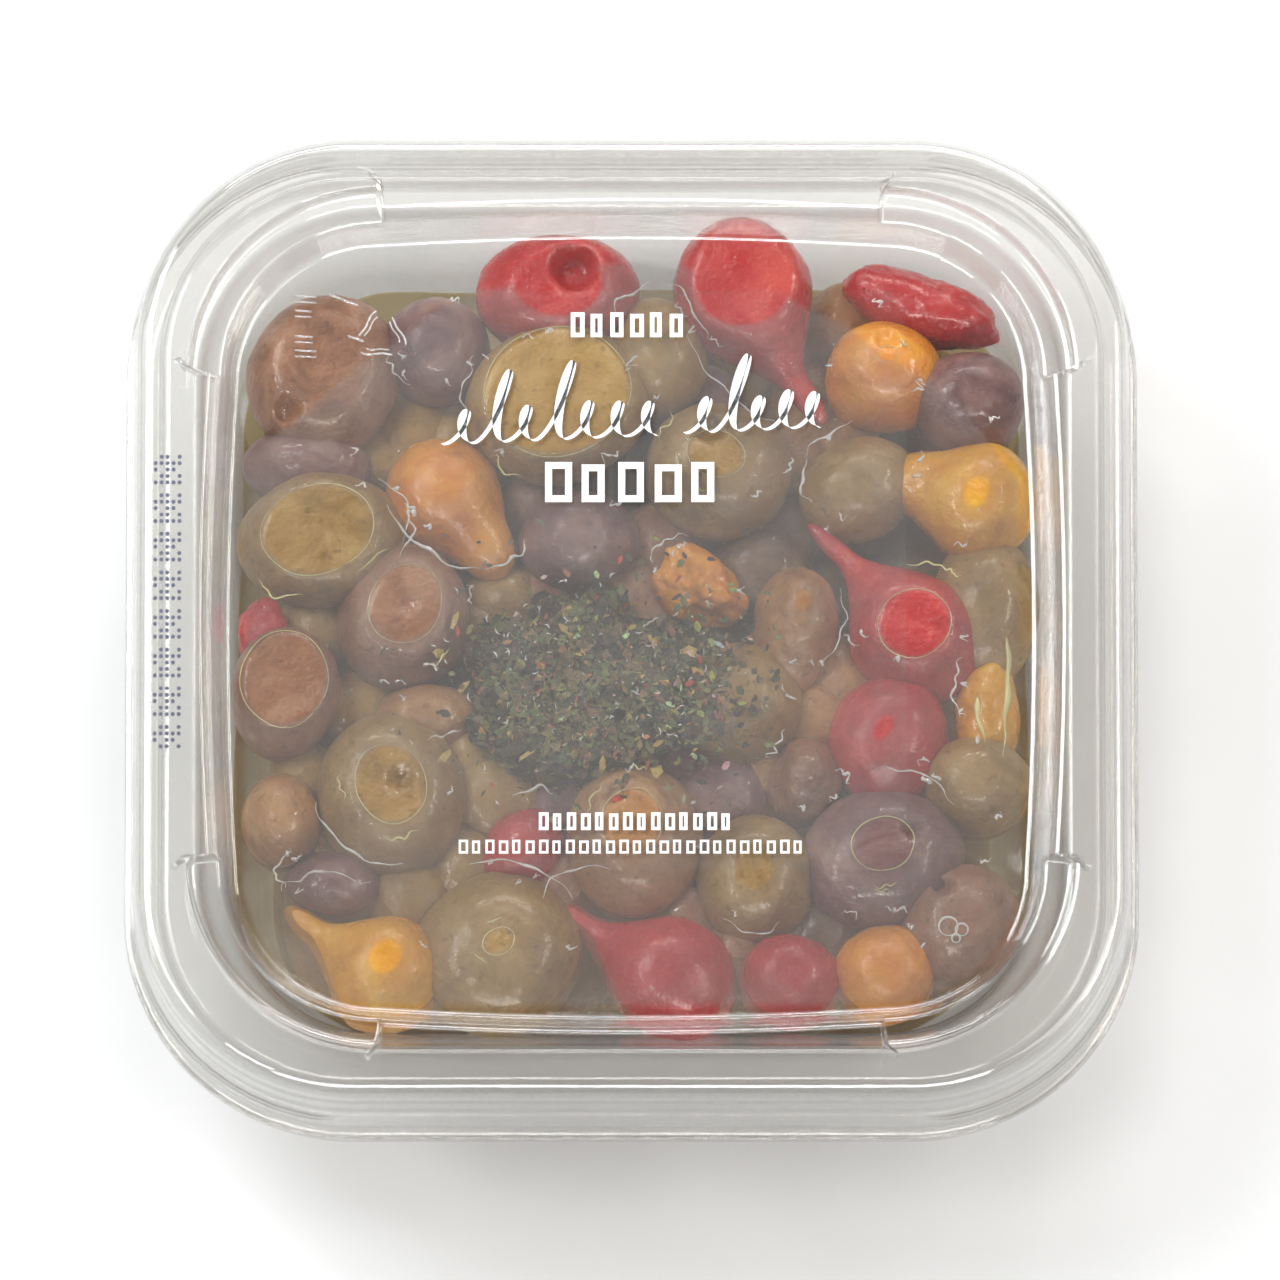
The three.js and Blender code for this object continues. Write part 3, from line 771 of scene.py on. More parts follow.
def place_fruit(node, look, seed):
    """One olive or pepper of the upper layer in the place of its CAD solid."""
    length, width, height = look["size"]
    length, width = length * PLUMP, width * PLUMP
    points, faces = rounded(
        length,
        width,
        height,
        taper=look.get("taper", 0.0),
        bend=look.get("bend", 0.0),
        lumps=look.get("lumps", 0.35),
        seed=seed,
    )
    turn = math.radians(look.get("turn", 0.0))
    spin = np.array(Matrix.Rotation(turn, 3, "Z"))
    points = points @ spin.T
    if "hole" in look:
        carve(points, look["hole"])
    low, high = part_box(node)
    middle = (low + high) / 2 / MM
    shift = look.get("shift", (0.0, 0.0))
    points += (middle.x + shift[0], middle.y + shift[1], LAYER_SPLIT + height / 2)
    BODIES.append((middle.x + shift[0], middle.y + shift[1], length / 2, width / 2, turn))
    limit = TOUCH - look.get("below", 0.0)
    points[:, 2] = soft_limit(points[:, 2], limit)
    if not look.get("below"):
        find_patch(points, TOUCH, look.get("ringed", False))
    made = new_object(f"{node}_fine", points, faces, SKINS[look["tone"]])
    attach(made, "tub")
    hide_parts(node)
    return made


def carve(points, hole):
    """A pit hole or an open stem end: a cup with a slightly raised lip, on the upper side."""
    east, north, radius, depth = hole
    above = points[:, 2] > 0
    near = np.hypot(points[:, 0] - east, points[:, 1] - north)
    cup = smoothstep((radius - near) / (radius * 0.5)) * above
    lip = np.exp(-(((near - radius * 1.15) / (radius * 0.2)) ** 2)) * above
    points[:, 2] += lip * 0.2 - cup * depth


# size is length, width and height, turn is in degrees from +X, hole is the x, y, radius and depth of a
# pit hole or open stem end, and below is how far a piece stays under the lid, all in mm
FILLING = {
    "olive_gold": dict(ringed=True, tone="gold", size=(20.5, 17.5, 19.2), turn=15),
    "olive_brown_back": dict(
        tone="brown", size=(18.5, 17, 16.4), turn=70, hole=(-4.4, -5.4, 1.9, 2.2), below=0.5, lumps=0.5
    ),
    "pepper_red_hole": dict(tone="red", size=(18, 13.5, 17), turn=4, hole=(2, 1.6, 3.4, 5)),
    "olive_left": dict(ringed=True, tone="green", size=(18.5, 15, 17.7), turn=10),
    "olive_pink": dict(ringed=True, tone="brown", size=(16.5, 14.5, 16.8), turn=70, hole=(0.4, 0.3, 1.6, 2)),
    "olive_left_low": dict(ringed=True, tone="green", size=(18.5, 16, 16.5), turn=100, hole=(1.2, 0.6, 2, 3)),
    "olive_purple_left": dict(ringed=True, tone="brown", size=(14.5, 12.2, 18.4), turn=90),
    "olive_grooved": dict(ringed=True, tone="green", size=(18.5, 18, 15.8), turn=40),
    "pepper_red_front": dict(tone="red", size=(23, 13.5, 15.5), turn=150, taper=0.9, bend=-1.5),
    "olive_orange": dict(ringed=True, tone="rust", size=(17.5, 15, 16.2), turn=90, hole=(-2.4, 4.6, 1.6, 2)),
    "olive_front_mid": dict(tone="green", size=(15, 13.5, 15.6), turn=100),
    "olive_purple_front": dict(
        ringed=True, tone="purple", size=(18, 16, 16.2), turn=20, hole=(3.6, 2.4, 1.5, 2)
    ),
    "pepper_red_right": dict(ringed=True, tone="red", size=(25, 14, 16.9), turn=128, taper=1.0, bend=1.2),
    "pepper_red_round": dict(tone="red", size=(15.2, 13.6, 15.5), turn=80),
    "olive_green_mid": dict(tone="green", size=(14, 13, 15.5), turn=45),
    "olive_walnut": dict(tone="rust", size=(13.5, 9.5, 14.6), turn=80, lumps=0.9),
    "olive_green_back": dict(ringed=True, tone="green", size=(16, 15.5, 16), turn=0, hole=(-1, 3.4, 2, 2.5)),
    "pepper_red_back": dict(tone="red", size=(26, 15.5, 18.2), turn=-62, taper=0.95, bend=1.0),
    "pepper_orange_ring": dict(
        ringed=True, tone="orange", size=(13, 12.7, 15.6), turn=0, hole=(0.2, 2.9, 1.6, 1.2)
    ),
    "olive_green_right": dict(tone="green", size=(13.5, 11, 14), turn=20, below=0.4),
    "pepper_yellow_right": dict(tone="yellow", size=(17, 14, 16.2), turn=160, taper=0.45, shift=(-1.6, 0.4)),
    "olive_purple_right": dict(tone="purple", size=(12.5, 12, 15.4), turn=0, below=0.3),
    "pepper_red_bit": dict(tone="red", size=(17, 7.5, 13.8), turn=-18, below=0.6, lumps=0.8),
    "olive_brown_mid": dict(tone="gold", size=(14, 11, 14.4), turn=90, below=0.3),
    "olive_purple_back": dict(tone="purple", size=(12.6, 12, 15.2), turn=0, below=0.2),
    "pepper_spotted": dict(tone="orange", size=(18, 13.5, 15.6), turn=-48, taper=0.5, bend=-1.0),
    "olive_pink_mid": dict(tone="purple", size=(13, 11, 14.4), turn=10, below=0.3),
    "olive_purple_hidden": dict(tone="purple", size=(14, 9, 12.5), turn=0, below=1),
    "olive_green_side": dict(tone="green", size=(18, 12, 13), turn=90, below=1),
    "pepper_yellow_sliver": dict(tone="yellow", size=(13, 7, 12.5), turn=90, below=1, lumps=0.7),
    "olive_brown_right": dict(tone="green", size=(12, 11, 15.4), turn=0, below=0.2),
    "olive_corner": dict(tone="brown", size=(14.5, 13, 15.7), turn=60, hole=(-2.2, 3.4, 1.5, 2)),
    "pepper_orange_front": dict(tone="orange", size=(11.5, 11, 15.3), turn=0, below=0.2),
    "pepper_red_low": dict(tone="red", size=(11.4, 10.4, 15.3), turn=0, below=0.2),
    "pepper_yellow_front": dict(tone="yellow", size=(20, 13.5, 15.8), turn=150, taper=0.9, bend=-1.2),
    "olive_red_brown": dict(tone="rust", size=(10.5, 9, 14), turn=80, below=0.3),
    "olive_purple_low": dict(tone="purple", size=(11, 8, 12.6), turn=0, below=1),
    "olive_reddish": dict(tone="rust", size=(12, 8, 12.6), turn=0, below=1),
    "olive_speckled": dict(tone="brown", size=(10, 8, 13.6), turn=90, below=0.6, lumps=0.8),
    "pepper_red_sliver": dict(tone="red", size=(10, 8, 12.6), turn=40, below=1, lumps=0.8),
    "pepper_orange_bits": dict(tone="orange", size=(11, 7.5, 13.6), turn=-30, below=0.6, lumps=1.7),
}
for index, (node, look) in enumerate(FILLING.items()):
    place_fruit(node, look, index + 1.0)

scrap, scrap_faces = rounded(8.5, 6, 5, lumps=1.1, seed=91.0, turns=40, rows=26)
scrap = scrap[:, (1, 0, 2)] + (-44.6, 0.6, 29.5)
pepper_scrap = new_object("pepper_scrap", scrap, [face[::-1] for face in scrap_faces], SKINS["red"])
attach(pepper_scrap, "tub")


def room_outside(spots, body):
    """How far each spot is outside a piece seen from above, in mm."""
    cx, cy, along, across, angle = body
    dx, dy = spots[:, 0] - cx, spots[:, 1] - cy
    u = dx * math.cos(angle) + dy * math.sin(angle)
    v = -dx * math.sin(angle) + dy * math.cos(angle)
    return (np.hypot(u / along, v / across) - 1) * (along + across) / 2


def olives_between():
    """Olives of the lower layer that push up into the gaps: x, y, half-width and top, in mm."""
    side = np.arange(-43.5, 43.6, 1.0)
    x, y = (grid.ravel() for grid in np.meshgrid(side, side))
    into_corner = np.hypot(np.maximum(0, np.abs(x) - 28), np.maximum(0, np.abs(y) - 28))
    spots = np.column_stack([x, y])[into_corner < 15.6]
    room = np.full(len(spots), 99.0)
    for body in [*BODIES, (HERB_MIDDLE.x, HERB_MIDDLE.y, 14, 12, 0.0)]:
        room = np.minimum(room, room_outside(spots, body))
    found = []
    while len(found) < 40 and room.max() > 0.8:
        best = int(room.argmax())
        x, y = (float(value) for value in spots[best])
        free = float(room[best])
        found.append((x, y, min(7.2, free + 3.1), 27.2 + 0.5 * free - 0.05 * y))
        room = np.minimum(room, room_outside(spots, (x, y, free + 1.3, free + 1.3, 0.0)))
    return found


# the layer below: two olives lie side by side in the place of each CAD solid
RISE = 3  # the lower olives are pressed up a little past their CAD solids
UNDER_TONES = ("green", "brown", "dark", "gold", "purple", "rust")
under_nodes = sorted(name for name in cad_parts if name.startswith("olive_below_"))
gap_olives = olives_between()
placed = set()


def lay(vertices, faces, shape, degrees, place):
    """Adds a rounded shape, turned about the upright and put in its place."""
    points, quads = shape
    points = points @ np.array(Matrix.Rotation(math.radians(degrees), 3, "Z")).T
    points += place
    faces += [tuple(corner + len(vertices) for corner in quad) for quad in quads]
    vertices += points.tolist()


def lower_olives(node, index):
    """The two olives in the place of a lower CAD solid, and the gap olives that stand over it."""
    low, high = (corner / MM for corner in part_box(node))
    tall = high.z - low.z + RISE
    wide = (high.x - low.x) / 2 + 0.6
    deep = high.y - low.y + 0.4
    vertices = []
    faces = []
    for half in range(2):
        shape = rounded(deep, wide, tall, lumps=0.4, seed=60.0 + 2 * index + half, turns=40, rows=28)
        x = low.x + (half + 0.5) * (high.x - low.x) / 2
        place = (x, (low.y + high.y) / 2, low.z + tall / 2)
        lay(vertices, faces, shape, 90 + float(RNG.uniform(-12, 12)), place)
    for x, y, reach, top in gap_olives:
        over = low.x - 0.2 <= x < high.x + 0.2 and low.y - 0.2 <= y < high.y + 0.2
        if not over or (x, y) in placed:
            continue
        placed.add((x, y))
        size = (reach * 2.25, reach * 2, reach * 1.9)
        shape = rounded(*size, lumps=0.4, seed=x + 3 * y, turns=44, rows=30)
        lay(vertices, faces, shape, float(RNG.uniform(0, 180)), (x, y, top - reach * 0.95))
    return new_object(f"{node}_pair", vertices, faces, SKINS[UNDER_TONES[index % len(UNDER_TONES)]])


for index, node in enumerate(under_nodes):
    pair = lower_olives(node, index)
    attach(pair, "tub")
    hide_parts(node)


# ---------------------------------------------------------------- herbs

FLAKE_TONES = (
    ((0.08, 0.07, 0.024), 26),
    ((0.16, 0.14, 0.045), 24),
    ((0.26, 0.21, 0.07), 16),
    ((0.03, 0.026, 0.018), 12),
    ((0.5, 0.38, 0.08), 7),
    ((0.55, 0.1, 0.04), 3),
    ((0.7, 0.65, 0.5), 4),
    ((0.34, 0.2, 0.1), 8),
)


def mound_height(x, y, reach=1.0):
    """Height of the clump's top over its floor of olives, 0 to 1, at mm offsets from its middle."""
    far = math.hypot(x / (16 * reach), y / (13.4 * reach))
    lumps = 0.42 * noise.noise(Vector((x * 0.19, y * 0.19, 3.0)))
    return max(0.0, 1 - far**2.6 + lumps * min(1.0, far * 1.6))


def herb_clump():
    """A mound of cut leaves, with flakes strewn round it and over the olive on its right."""
    vertices = []
    faces = []
    tones = []
    cells = 44
    for row in range(cells + 1):
        for column in range(cells + 1):
            x = (column / cells - 0.5) * 33
            y = (row / cells - 0.5) * 28
            tall = mound_height(x, y)
            rough = 0.5 * noise.noise(Vector((x * 0.9, y * 0.9, 9.0)))
            z = HERB_LOW.z + 2 + (TOUCH - HERB_LOW.z - 2.6) * min(1.0, tall * 1.35) + rough
            vertices.append((x, y, min(z, TOUCH - 0.3)))
    for row in range(cells):
        for column in range(cells):
            a = row * (cells + 1) + column
            faces.append((a, a + 1, a + cells + 2, a + cells + 1))
    rim = [row for row in range(cells + 1)]
    rim += [(cells + 1) * (row + 1) + cells for row in range(cells)]
    rim += [(cells + 1) * cells + cells - 1 - column for column in range(cells)]
    rim += [(cells + 1) * (cells - 1 - row) for row in range(cells - 1)]
    base = len(vertices)
    for corner in rim:
        x, y, _ = vertices[corner]
        vertices.append((x * 0.9, y * 0.9, HERB_LOW.z + 0.3))
    for i in range(len(rim)):
        j = (i + 1) % len(rim)
        faces.append((rim[i], base + i, base + j, rim[j]))
    faces.append(tuple(base + i for i in range(len(rim))))
    tones += [FLAKE_TONES[0][0]] * len(vertices)
    weights = np.array([share for _, share in FLAKE_TONES], float)
    weights /= weights.sum()
    flakes = 5000
    strewn, dragged_right, pale_bits = 0.07, 0.14, 0.005
    for _ in range(flakes):
        x = float(RNG.normal(0.8, 8.8))
        y = float(RNG.normal(0, 7.2))
        stray = RNG.uniform() < strewn
        if stray:
            x, y = x * 1.7, y * 1.7
        elif RNG.uniform() < dragged_right:
            x, y, stray = 12.5 + 0.5 * x, 0.7 * y - 1, True
        if abs(x) > 24 or abs(y) > 20:
            continue
        tall = min(1.0, mound_height(x, y, 1.08) * 1.35)
        z = HERB_LOW.z + 2.4 + (TOUCH - HERB_LOW.z - 2.9) * tall + float(RNG.uniform(-0.5, 0.5))
        if stray:
            z = TOUCH - float(RNG.uniform(0.1, 0.5))
        tone = FLAKE_TONES[int(RNG.choice(len(FLAKE_TONES), p=weights))][0]
        tone = tuple(c * float(RNG.uniform(0.55, 1.15)) for c in tone)
        long = float(RNG.uniform(0.4, 1.0) ** 1.8 * 1.5) * (0.6 if stray or tone[0] > 0.25 else 1.0)
        if RNG.uniform() < pale_bits:
            long, tone, z = 1.2, (0.5, 0.36, 0.1), TOUCH - 0.3
        wide = long * float(RNG.uniform(0.25, 0.7))
        first = len(vertices)
        turn = Matrix.Rotation(float(RNG.uniform(0, 6.28)), 3, "Z")
        lean = Matrix.Rotation(float(RNG.normal(0, 0.45)), 3, "X")
        lean = lean @ Matrix.Rotation(float(RNG.normal(0, 0.45)), 3, "Y")
        curl = float(RNG.uniform(0.05, 0.3)) * long
        outline = [(-long, 0, 0), (-0.3 * long, -wide, curl), (0.7 * long, -0.7 * wide, curl)]
        outline += [(long, 0.1 * wide, 0), (0.3 * long, wide, curl), (-0.6 * long, 0.6 * wide, curl * 0.6)]
        outline = [turn @ (lean @ Vector(p)) for p in outline]
        for lift in (0.0, 0.12):
            for p in outline:
                vertices.append((x + p.x, y + p.y, min(z + p.z + lift, TOUCH - 0.02)))
        n = len(outline)
        faces.append(tuple(first + i for i in reversed(range(n))))
        faces.append(tuple(first + n + i for i in range(n)))
        for i in range(n):
            j = (i + 1) % n
            faces.append((first + i, first + j, first + n + j, first + n + i))
        tones += [tone] * (2 * n)
    vertices = [(HERB_MIDDLE.x + x, HERB_MIDDLE.y + y, z) for x, y, z in vertices]
    made = new_object("herb_clump_fine", vertices, faces, HERBS, smooth=False)
    layer = made.data.color_attributes.new("tone", "FLOAT_COLOR", "POINT")
    layer.data.foreach_set("color", [c for tone in tones for c in (*tone, 1.0)])
    return made


herbs = herb_clump()
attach(herbs, "tub")
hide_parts("herb_clump")


# ---------------------------------------------------------------- oil

OIL_LOW, OIL_HIGH = (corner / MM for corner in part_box("oil"))


def oil_pool():
    """Oil on the floor of the tub, its surface drawn up a little at the wall."""
    rings = []
    floor = OIL_LOW.z
    for share in (0.15, 0.5, 0.85):
        rings.append(shell_ring(27 * share, 42.4 * share, floor))
    rings.append(shell_ring(27, 42.6, floor + 0.1))
    rings.append(shell_ring(27, 43.1, floor + 0.8))
    rings.append(shell_ring(27.5, 43.3, OIL_HIGH.z))
    for half, drop in ((42.9, 0.25), (42, 0.4), (38, 0.45), (28, 0.45), (14, 0.45), (5, 0.45)):
        rings.append(shell_ring(27 * half / 43, half, OIL_HIGH.z - drop))
    points, faces = closed_body(rings)
    return new_object("oil_pool", points, faces, OIL)


pool = oil_pool()
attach(pool, "tub")
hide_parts("oil")


def oil_between():
    """Oil among the pieces: a body that follows the wall up to their shoulders."""
    wall = ((43.7, 5.2), (44.3, 7), (45.1, 11), (45.8, 15), (46.5, 20), (47.2, 24.5), (48.1, 29))
    bottom_z = wall[0][1]
    level_middle, level_fall = 25.5, 0.13
    halves, heights = np.array(wall).T
    rings = [shell_ring(27.5 * share, 43.2 * share, OIL_HIGH.z + 0.4) for share in (0.2, 0.6, 0.9)]
    edge = shell_ring(28, 47, 0)
    level = level_middle - level_fall * edge[:, 1]
    for x, y, k in zip(edge[:, 0], edge[:, 1], range(len(edge))):
        broad = 0.9 * noise.noise(Vector((x * 0.12, y * 0.12, 0)))
        level[k] += broad + 0.5 * noise.noise(Vector((x * 0.3, y * 0.3, 5)))
    for share in (0, 0.2, 0.4, 0.6, 0.8, 0.93, 1):
        z = bottom_z + (level - bottom_z) * share
        ring = edge * (np.interp(z, heights, halves) / 47)[:, None]
        ring[:, 2] = z
        rings.append(ring)
    surface = len(rings)
    rim = rings[-1]
    unevenness = rim[:, 2] - level_middle + level_fall * rim[:, 1]
    meniscus = ((0.995, 0.05), (0.985, 0.5), (0.965, 0.85), (0.92, 1), (0.84, 1))
    for share, drop in (*meniscus, (0.7, 1), (0.5, 1), (0.33, 1), (0.15, 1)):
        ring = rim * (share, share, 1)
        ring[:, 2] = level_middle - level_fall * ring[:, 1] + unevenness * share**3 - drop
        rings.append(ring)
    points, faces = closed_body(rings)
    made = new_object("oil_between", points, faces, OIL)
    mark = np.zeros(len(points))
    mark[surface * len(rim) : len(rings) * len(rim)] = 1
    mark[-1] = 1
    layer = made.data.attributes.new("top", "FLOAT", "POINT")
    layer.data.foreach_set("value", mark)
    return made


between = oil_between()
between.visible_shadow = False
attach(between, "tub")


def inside_patch(x, y, patch, grow=0.0):
    """Distance into a patch: 1 at its middle, 0 on its edge, negative outside."""
    cx, cy, along, across, angle = patch
    dx, dy = x - cx, y - cy
    u = dx * math.cos(angle) + dy * math.sin(angle)
    v = -dx * math.sin(angle) + dy * math.cos(angle)
    return 1 - np.sqrt((u / (along + grow)) ** 2 + (v / (across + grow)) ** 2)


def haze_and_shade_film():
    """The oily mist condensed under the panel: a sheet, with its strength in the point attribute haze, which
    also sets where its painted shade darkens the fruit.
    """
    step = 0.4
    half = 47.4
    count = int(2 * half / step) + 1
    xs = np.linspace(-half, half, count)
    x, y = np.meshgrid(xs, xs)
    strength = np.ones_like(x)
    for patch in PATCHES:
        strength *= 1 - 0.96 * smoothstep(inside_patch(x, y, patch, 0.3) * patch[3] / 0.5)
    corner = 17.2
    reach = np.hypot(
        np.maximum(0, np.abs(x) - (half - corner)),
        np.maximum(0, np.abs(y) - (half - corner)),
    )
    strength *= smoothstep((corner - reach) / 1.5)
    wave = [noise.noise(Vector((value * 0.12, 0, 4.0))) for value in xs]
    strength *= smoothstep((42.5 + 1.6 * np.array(wave)[None, :] - 0.012 * x**2 + 4 - y) / 1.4)
    z = np.full_like(x, PANEL_UNDER - 0.03)
    vertices = np.column_stack([x.ravel(), y.ravel(), z.ravel()])
    keep = (reach < corner + 0.3).ravel()
    faces = []
    for row in range(count - 1):
        for column in range(count - 1):
            a = row * count + column
            quad = (a, a + 1, a + count + 1, a + count)
            if all(keep[i] for i in quad):
                faces.append(quad)
    used = sorted({i for quad in faces for i in quad})
    index = {old: new for new, old in enumerate(used)}
    made = new_object(
        "condensation_and_shade",
        vertices[used],
        [tuple(index[i] for i in quad) for quad in faces],
        HAZE_AND_SHADE,
    )
    layer = made.data.attributes.new("haze_and_shade", "FLOAT", "POINT")
    layer.data.foreach_set("value", strength.ravel()[used])
    return made


haze_and_shade = haze_and_shade_film()
haze_and_shade.visible_shadow = False
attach(haze_and_shade, "lid")


def turned(u, v, body):
    """Where the point u along and v across a piece or patch lies, in mm."""
    cx, cy, _, _, angle = body
    return cx + u * math.cos(angle) - v * math.sin(angle), cy + u * math.sin(angle) + v * math.cos(angle)


def tube_along(vertices, faces, path, radius, closed):
    """Adds a six-sided tube along flat points (x, y, z, thickness share)."""
    n = len(path)
    sides = 6
    first = len(vertices)
    for i, (x, y, z, share) in enumerate(path):
        before = path[i - 1] if closed or i else path[i]
        after = path[(i + 1) % n] if closed or i < n - 1 else path[i]
        heading = math.atan2(after[1] - before[1], after[0] - before[0])
        for k in range(sides):
            angle = 2 * math.pi * k / sides
            out = math.cos(angle) * radius * share
            vertices.append(
                (
                    x - math.sin(heading) * out,
                    y + math.cos(heading) * out,
                    z + math.sin(angle) * radius * share,
                )
            )
    loops = n if closed else n - 1
    for i in range(loops):
        a = first + i * sides
        b = first + ((i + 1) % n) * sides
        for k in range(sides):
            m = (k + 1) % sides
            faces.append((a + k, a + m, b + m, b + k))
    if not closed:
        faces.append(tuple(first + k for k in range(sides)))
        faces.append(tuple(first + (n - 1) * sides + k for k in reversed(range(sides))))


def oil_edge_highlights():
    """The thin line of oil round each contact patch, broken arcs of oil further out, and two yellow streaks
    of oil by the wall on the right; their bright pale colour is partly the oil's own and partly painted
    highlight.
    """
    vertices = []
    faces = []
    for number, patch in enumerate(RINGED):
        along, across = patch[2:4]
        path = []
        steps = 60
        for i in range(steps):
            t = 2 * math.pi * i / steps
            wobble = 1 + 0.05 * noise.noise(Vector((math.cos(t) * 1.3, math.sin(t) * 1.3, number * 3.7)))
            u = (along + 0.25) * wobble * math.cos(t)
            v = (across + 0.25) * wobble * math.sin(t)
            share = 0.75 + 0.5 * noise.noise(Vector((math.cos(t), math.sin(t), number * 1.9 + 50)))
            path.append((*turned(u, v, patch), PANEL_UNDER - 0.16, share))
        tube_along(vertices, faces, path, 0.08, True)
        for _ in range(2):
            start = float(RNG.uniform(0, 2 * math.pi))
            sweep = float(RNG.uniform(0.3, 0.8))
            out = float(RNG.uniform(1.15, 1.6))
            arc = []
            for i in range(17):
                share = i / 16
                t = start + sweep * (share - 0.5)
                wobble = out + 0.16 * noise.noise(Vector((share * 4, number * 2.2, out * 9)))
                u = (along + 0.8) * wobble * math.cos(t)
                v = (across + 0.8) * wobble * math.sin(t)
                thick = math.sin(math.pi * max(0.06, min(0.94, share)))
                arc.append((*turned(u, v, patch), PANEL_UNDER - 0.2, thick))
            if max(abs(arc[0][0]), abs(arc[0][1]), abs(arc[-1][0]), abs(arc[-1][1])) < 46:
                tube_along(vertices, faces, arc, 0.13, False)
    for streak in (
        ((45.2, -1), (45.3, -6), (44.9, -11), (44.7, -16)),
        ((41.4, -8.4), (41.7, -11), (42.4, -14)),
    ):
        knots = np.array(streak)
        spots = np.linspace(0, len(knots) - 1, 25)
        xs = np.interp(spots, range(len(knots)), knots[:, 0])
        ys = np.interp(spots, range(len(knots)), knots[:, 1])
        shares = np.sin(np.pi * np.clip(spots / (len(knots) - 1), 0.06, 0.94) ** 0.7)
        shares *= 0.85 + 0.25 * np.sin(spots * 5)
        xs += 0.12 * np.sin(1.3 * ys)
        path = [(x, y, PANEL_UNDER - 0.45, share) for x, y, share in zip(xs, ys, shares)]
        tube_along(vertices, faces, path, 0.45, False)
    return new_object("oil_highlight_lines", vertices, faces, OIL_EDGE_HIGHLIGHT)


def painted_oil_glints():
    """Painted highlights: short white curls where oil bridges from a piece up to the panel, more over the
    herbs, and the bright rims of three small bubbles.
    """
    vertices = []
    faces = []
    curls, long_curls, herb_curls = 150, 26, 140
    for number in range(curls):
        long = number < long_curls
        piece = BODIES[int(RNG.integers(len(BODIES)))]
        cx, cy, along, across, _ = piece
        start = float(RNG.uniform(0, 2 * math.pi))
        sweep = float(RNG.uniform(0.7, 1.5)) if long else float(RNG.uniform(0.5, 2.2)) / along
        out = float(RNG.uniform(0.97, 1.07)) if long else float(RNG.uniform(0.7, 1.06))
        path = []
        for i in range(17):
            share = i / 16
            t = start + sweep * (share - 0.5)
            jitter = 0.9 * noise.noise(Vector((share * 5, cx, cy)))
            u = (along * out + jitter) * math.cos(t) + 0.25 * math.sin(5 * share + cx)
            v = (across * out + jitter) * math.sin(t) + 0.25 * math.cos(4 * share + cy)
            swell = 0.75 + 0.9 * noise.noise(Vector((share * 7, cy, cx)))
            thick = max(0.2, swell * math.sin(math.pi * share))
            path.append((*turned(u, v, piece), PANEL_UNDER - 0.26, thick))
        reach = max(math.hypot(max(0, abs(p[0]) - 29), max(0, abs(p[1]) - 28)) for p in path)
        if reach < 15.5:
            tube_along(vertices, faces, path, float(RNG.uniform(0.14, 0.25)), False)
    for _ in range(herb_curls):
        x = HERB_MIDDLE.x + float(RNG.normal(0, 7.5))
        y = HERB_MIDDLE.y + float(RNG.normal(0, 6))
        turn = float(RNG.uniform(0, 2 * math.pi))
        size = float(RNG.uniform(0.25, 0.8))
        bend = [turn + 1.6 * i / 6 for i in range(7)]
        path = [
            (x + size * math.cos(a), y + size * math.sin(a), PANEL_UNDER - 0.2, 1 - abs(a - turn - 0.8))
            for a in bend
        ]
        tube_along(vertices, faces, path, 0.13, False)
    for x, y, radius in ((38, -36.9, 1.15), (39.6, -37.3, 0.75), (38.9, -38.4, 0.5)):
        turns = [2 * math.pi * i / 20 for i in range(20)]
        circle = [
            (x + radius * math.cos(a), y + radius * math.sin(a), PANEL_UNDER - 0.25, 1 + 0.5 * math.sin(a))
            for a in turns
        ]
        tube_along(vertices, faces, circle, 0.13, True)
    return new_object("painted_oil_glints", vertices, faces, PAINTED_GLINT)


painted_glints = painted_oil_glints()
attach(painted_glints, "lid")

lines = oil_edge_highlights()
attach(lines, "lid")


# ---------------------------------------------------------------- marks on the lid


def panel_marks():
    """Low moulded marks: three bent bars round a middle, and short ribs beside them, in a milky white that is
    painted highlight for the light their edges catch.
    """
    vertices = []
    faces = []
    level = PANEL_TOP + 0.06

    def rib(path, radius):
        tube_along(vertices, faces, [(x, y, level, 1.0) for x, y in path], radius, False)

    cx, cy, radius = -30.2, 36.4, 2.7
    for bar in range(3):
        start = math.radians(100 + 120 * bar)
        steps = [start + math.radians(8 * i) for i in range(11)]
        away = [radius * (1 + 0.2 * math.cos(3 * (a - math.pi / 2))) for a in steps]
        rib([(cx + r * math.cos(a), cy + r * math.sin(a)) for a, r in zip(steps, away)], 0.13)
        rib([(cx + 0.75 * r * math.cos(a), cy + 0.75 * r * math.sin(a)) for a, r in zip(steps, away)], 0.1)
    for y, wide in ((41.4, 2.6), (39.6, 2), (36.4, 2.2), (34.6, 2.6)):
        rib([(-40.6, y), (-40.6 + wide, y - 0.15)], 0.13)
        rib([(-40.6, y - 0.75), (-40.6 + wide, y - 0.85)], 0.11)
    for x, y in ((-36.6, 41.6), (-34.9, 40.9), (-34.2, 36.4)):
        rib([(x, y), (x + 1.9, y - 0.7)], 0.15)
    return new_object("panel_marks", vertices, faces, MOULDED_HIGHLIGHT)


marks = panel_marks()
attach(marks, "lid")


def code_dots():
    """Groups of printed dots on the left of the ring, where a packing line prints its code."""
    outlines = []
    columns = 46
    for column in range(columns):
        if column % 6 == 5:
            continue
        for row in range(5):
            if (column * 7 + row * 11 + column * row) % 3 == 0:
                continue
            y = 19.4 - column * 0.8
            x = -57.2 + row * 0.72
            ring = [
                (x + 0.26 * math.cos(k * math.pi / 3), y + 0.26 * math.sin(k * math.pi / 3))
                for k in range(6)
            ]
            outlines.append(ring)
    return extruded("code_dots", outlines, RING_TOP - 0.1, RING_TOP + 0.09, GREY_INK)


dots = code_dots()
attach(dots, "lid")


# ---------------------------------------------------------------- floor, light and camera

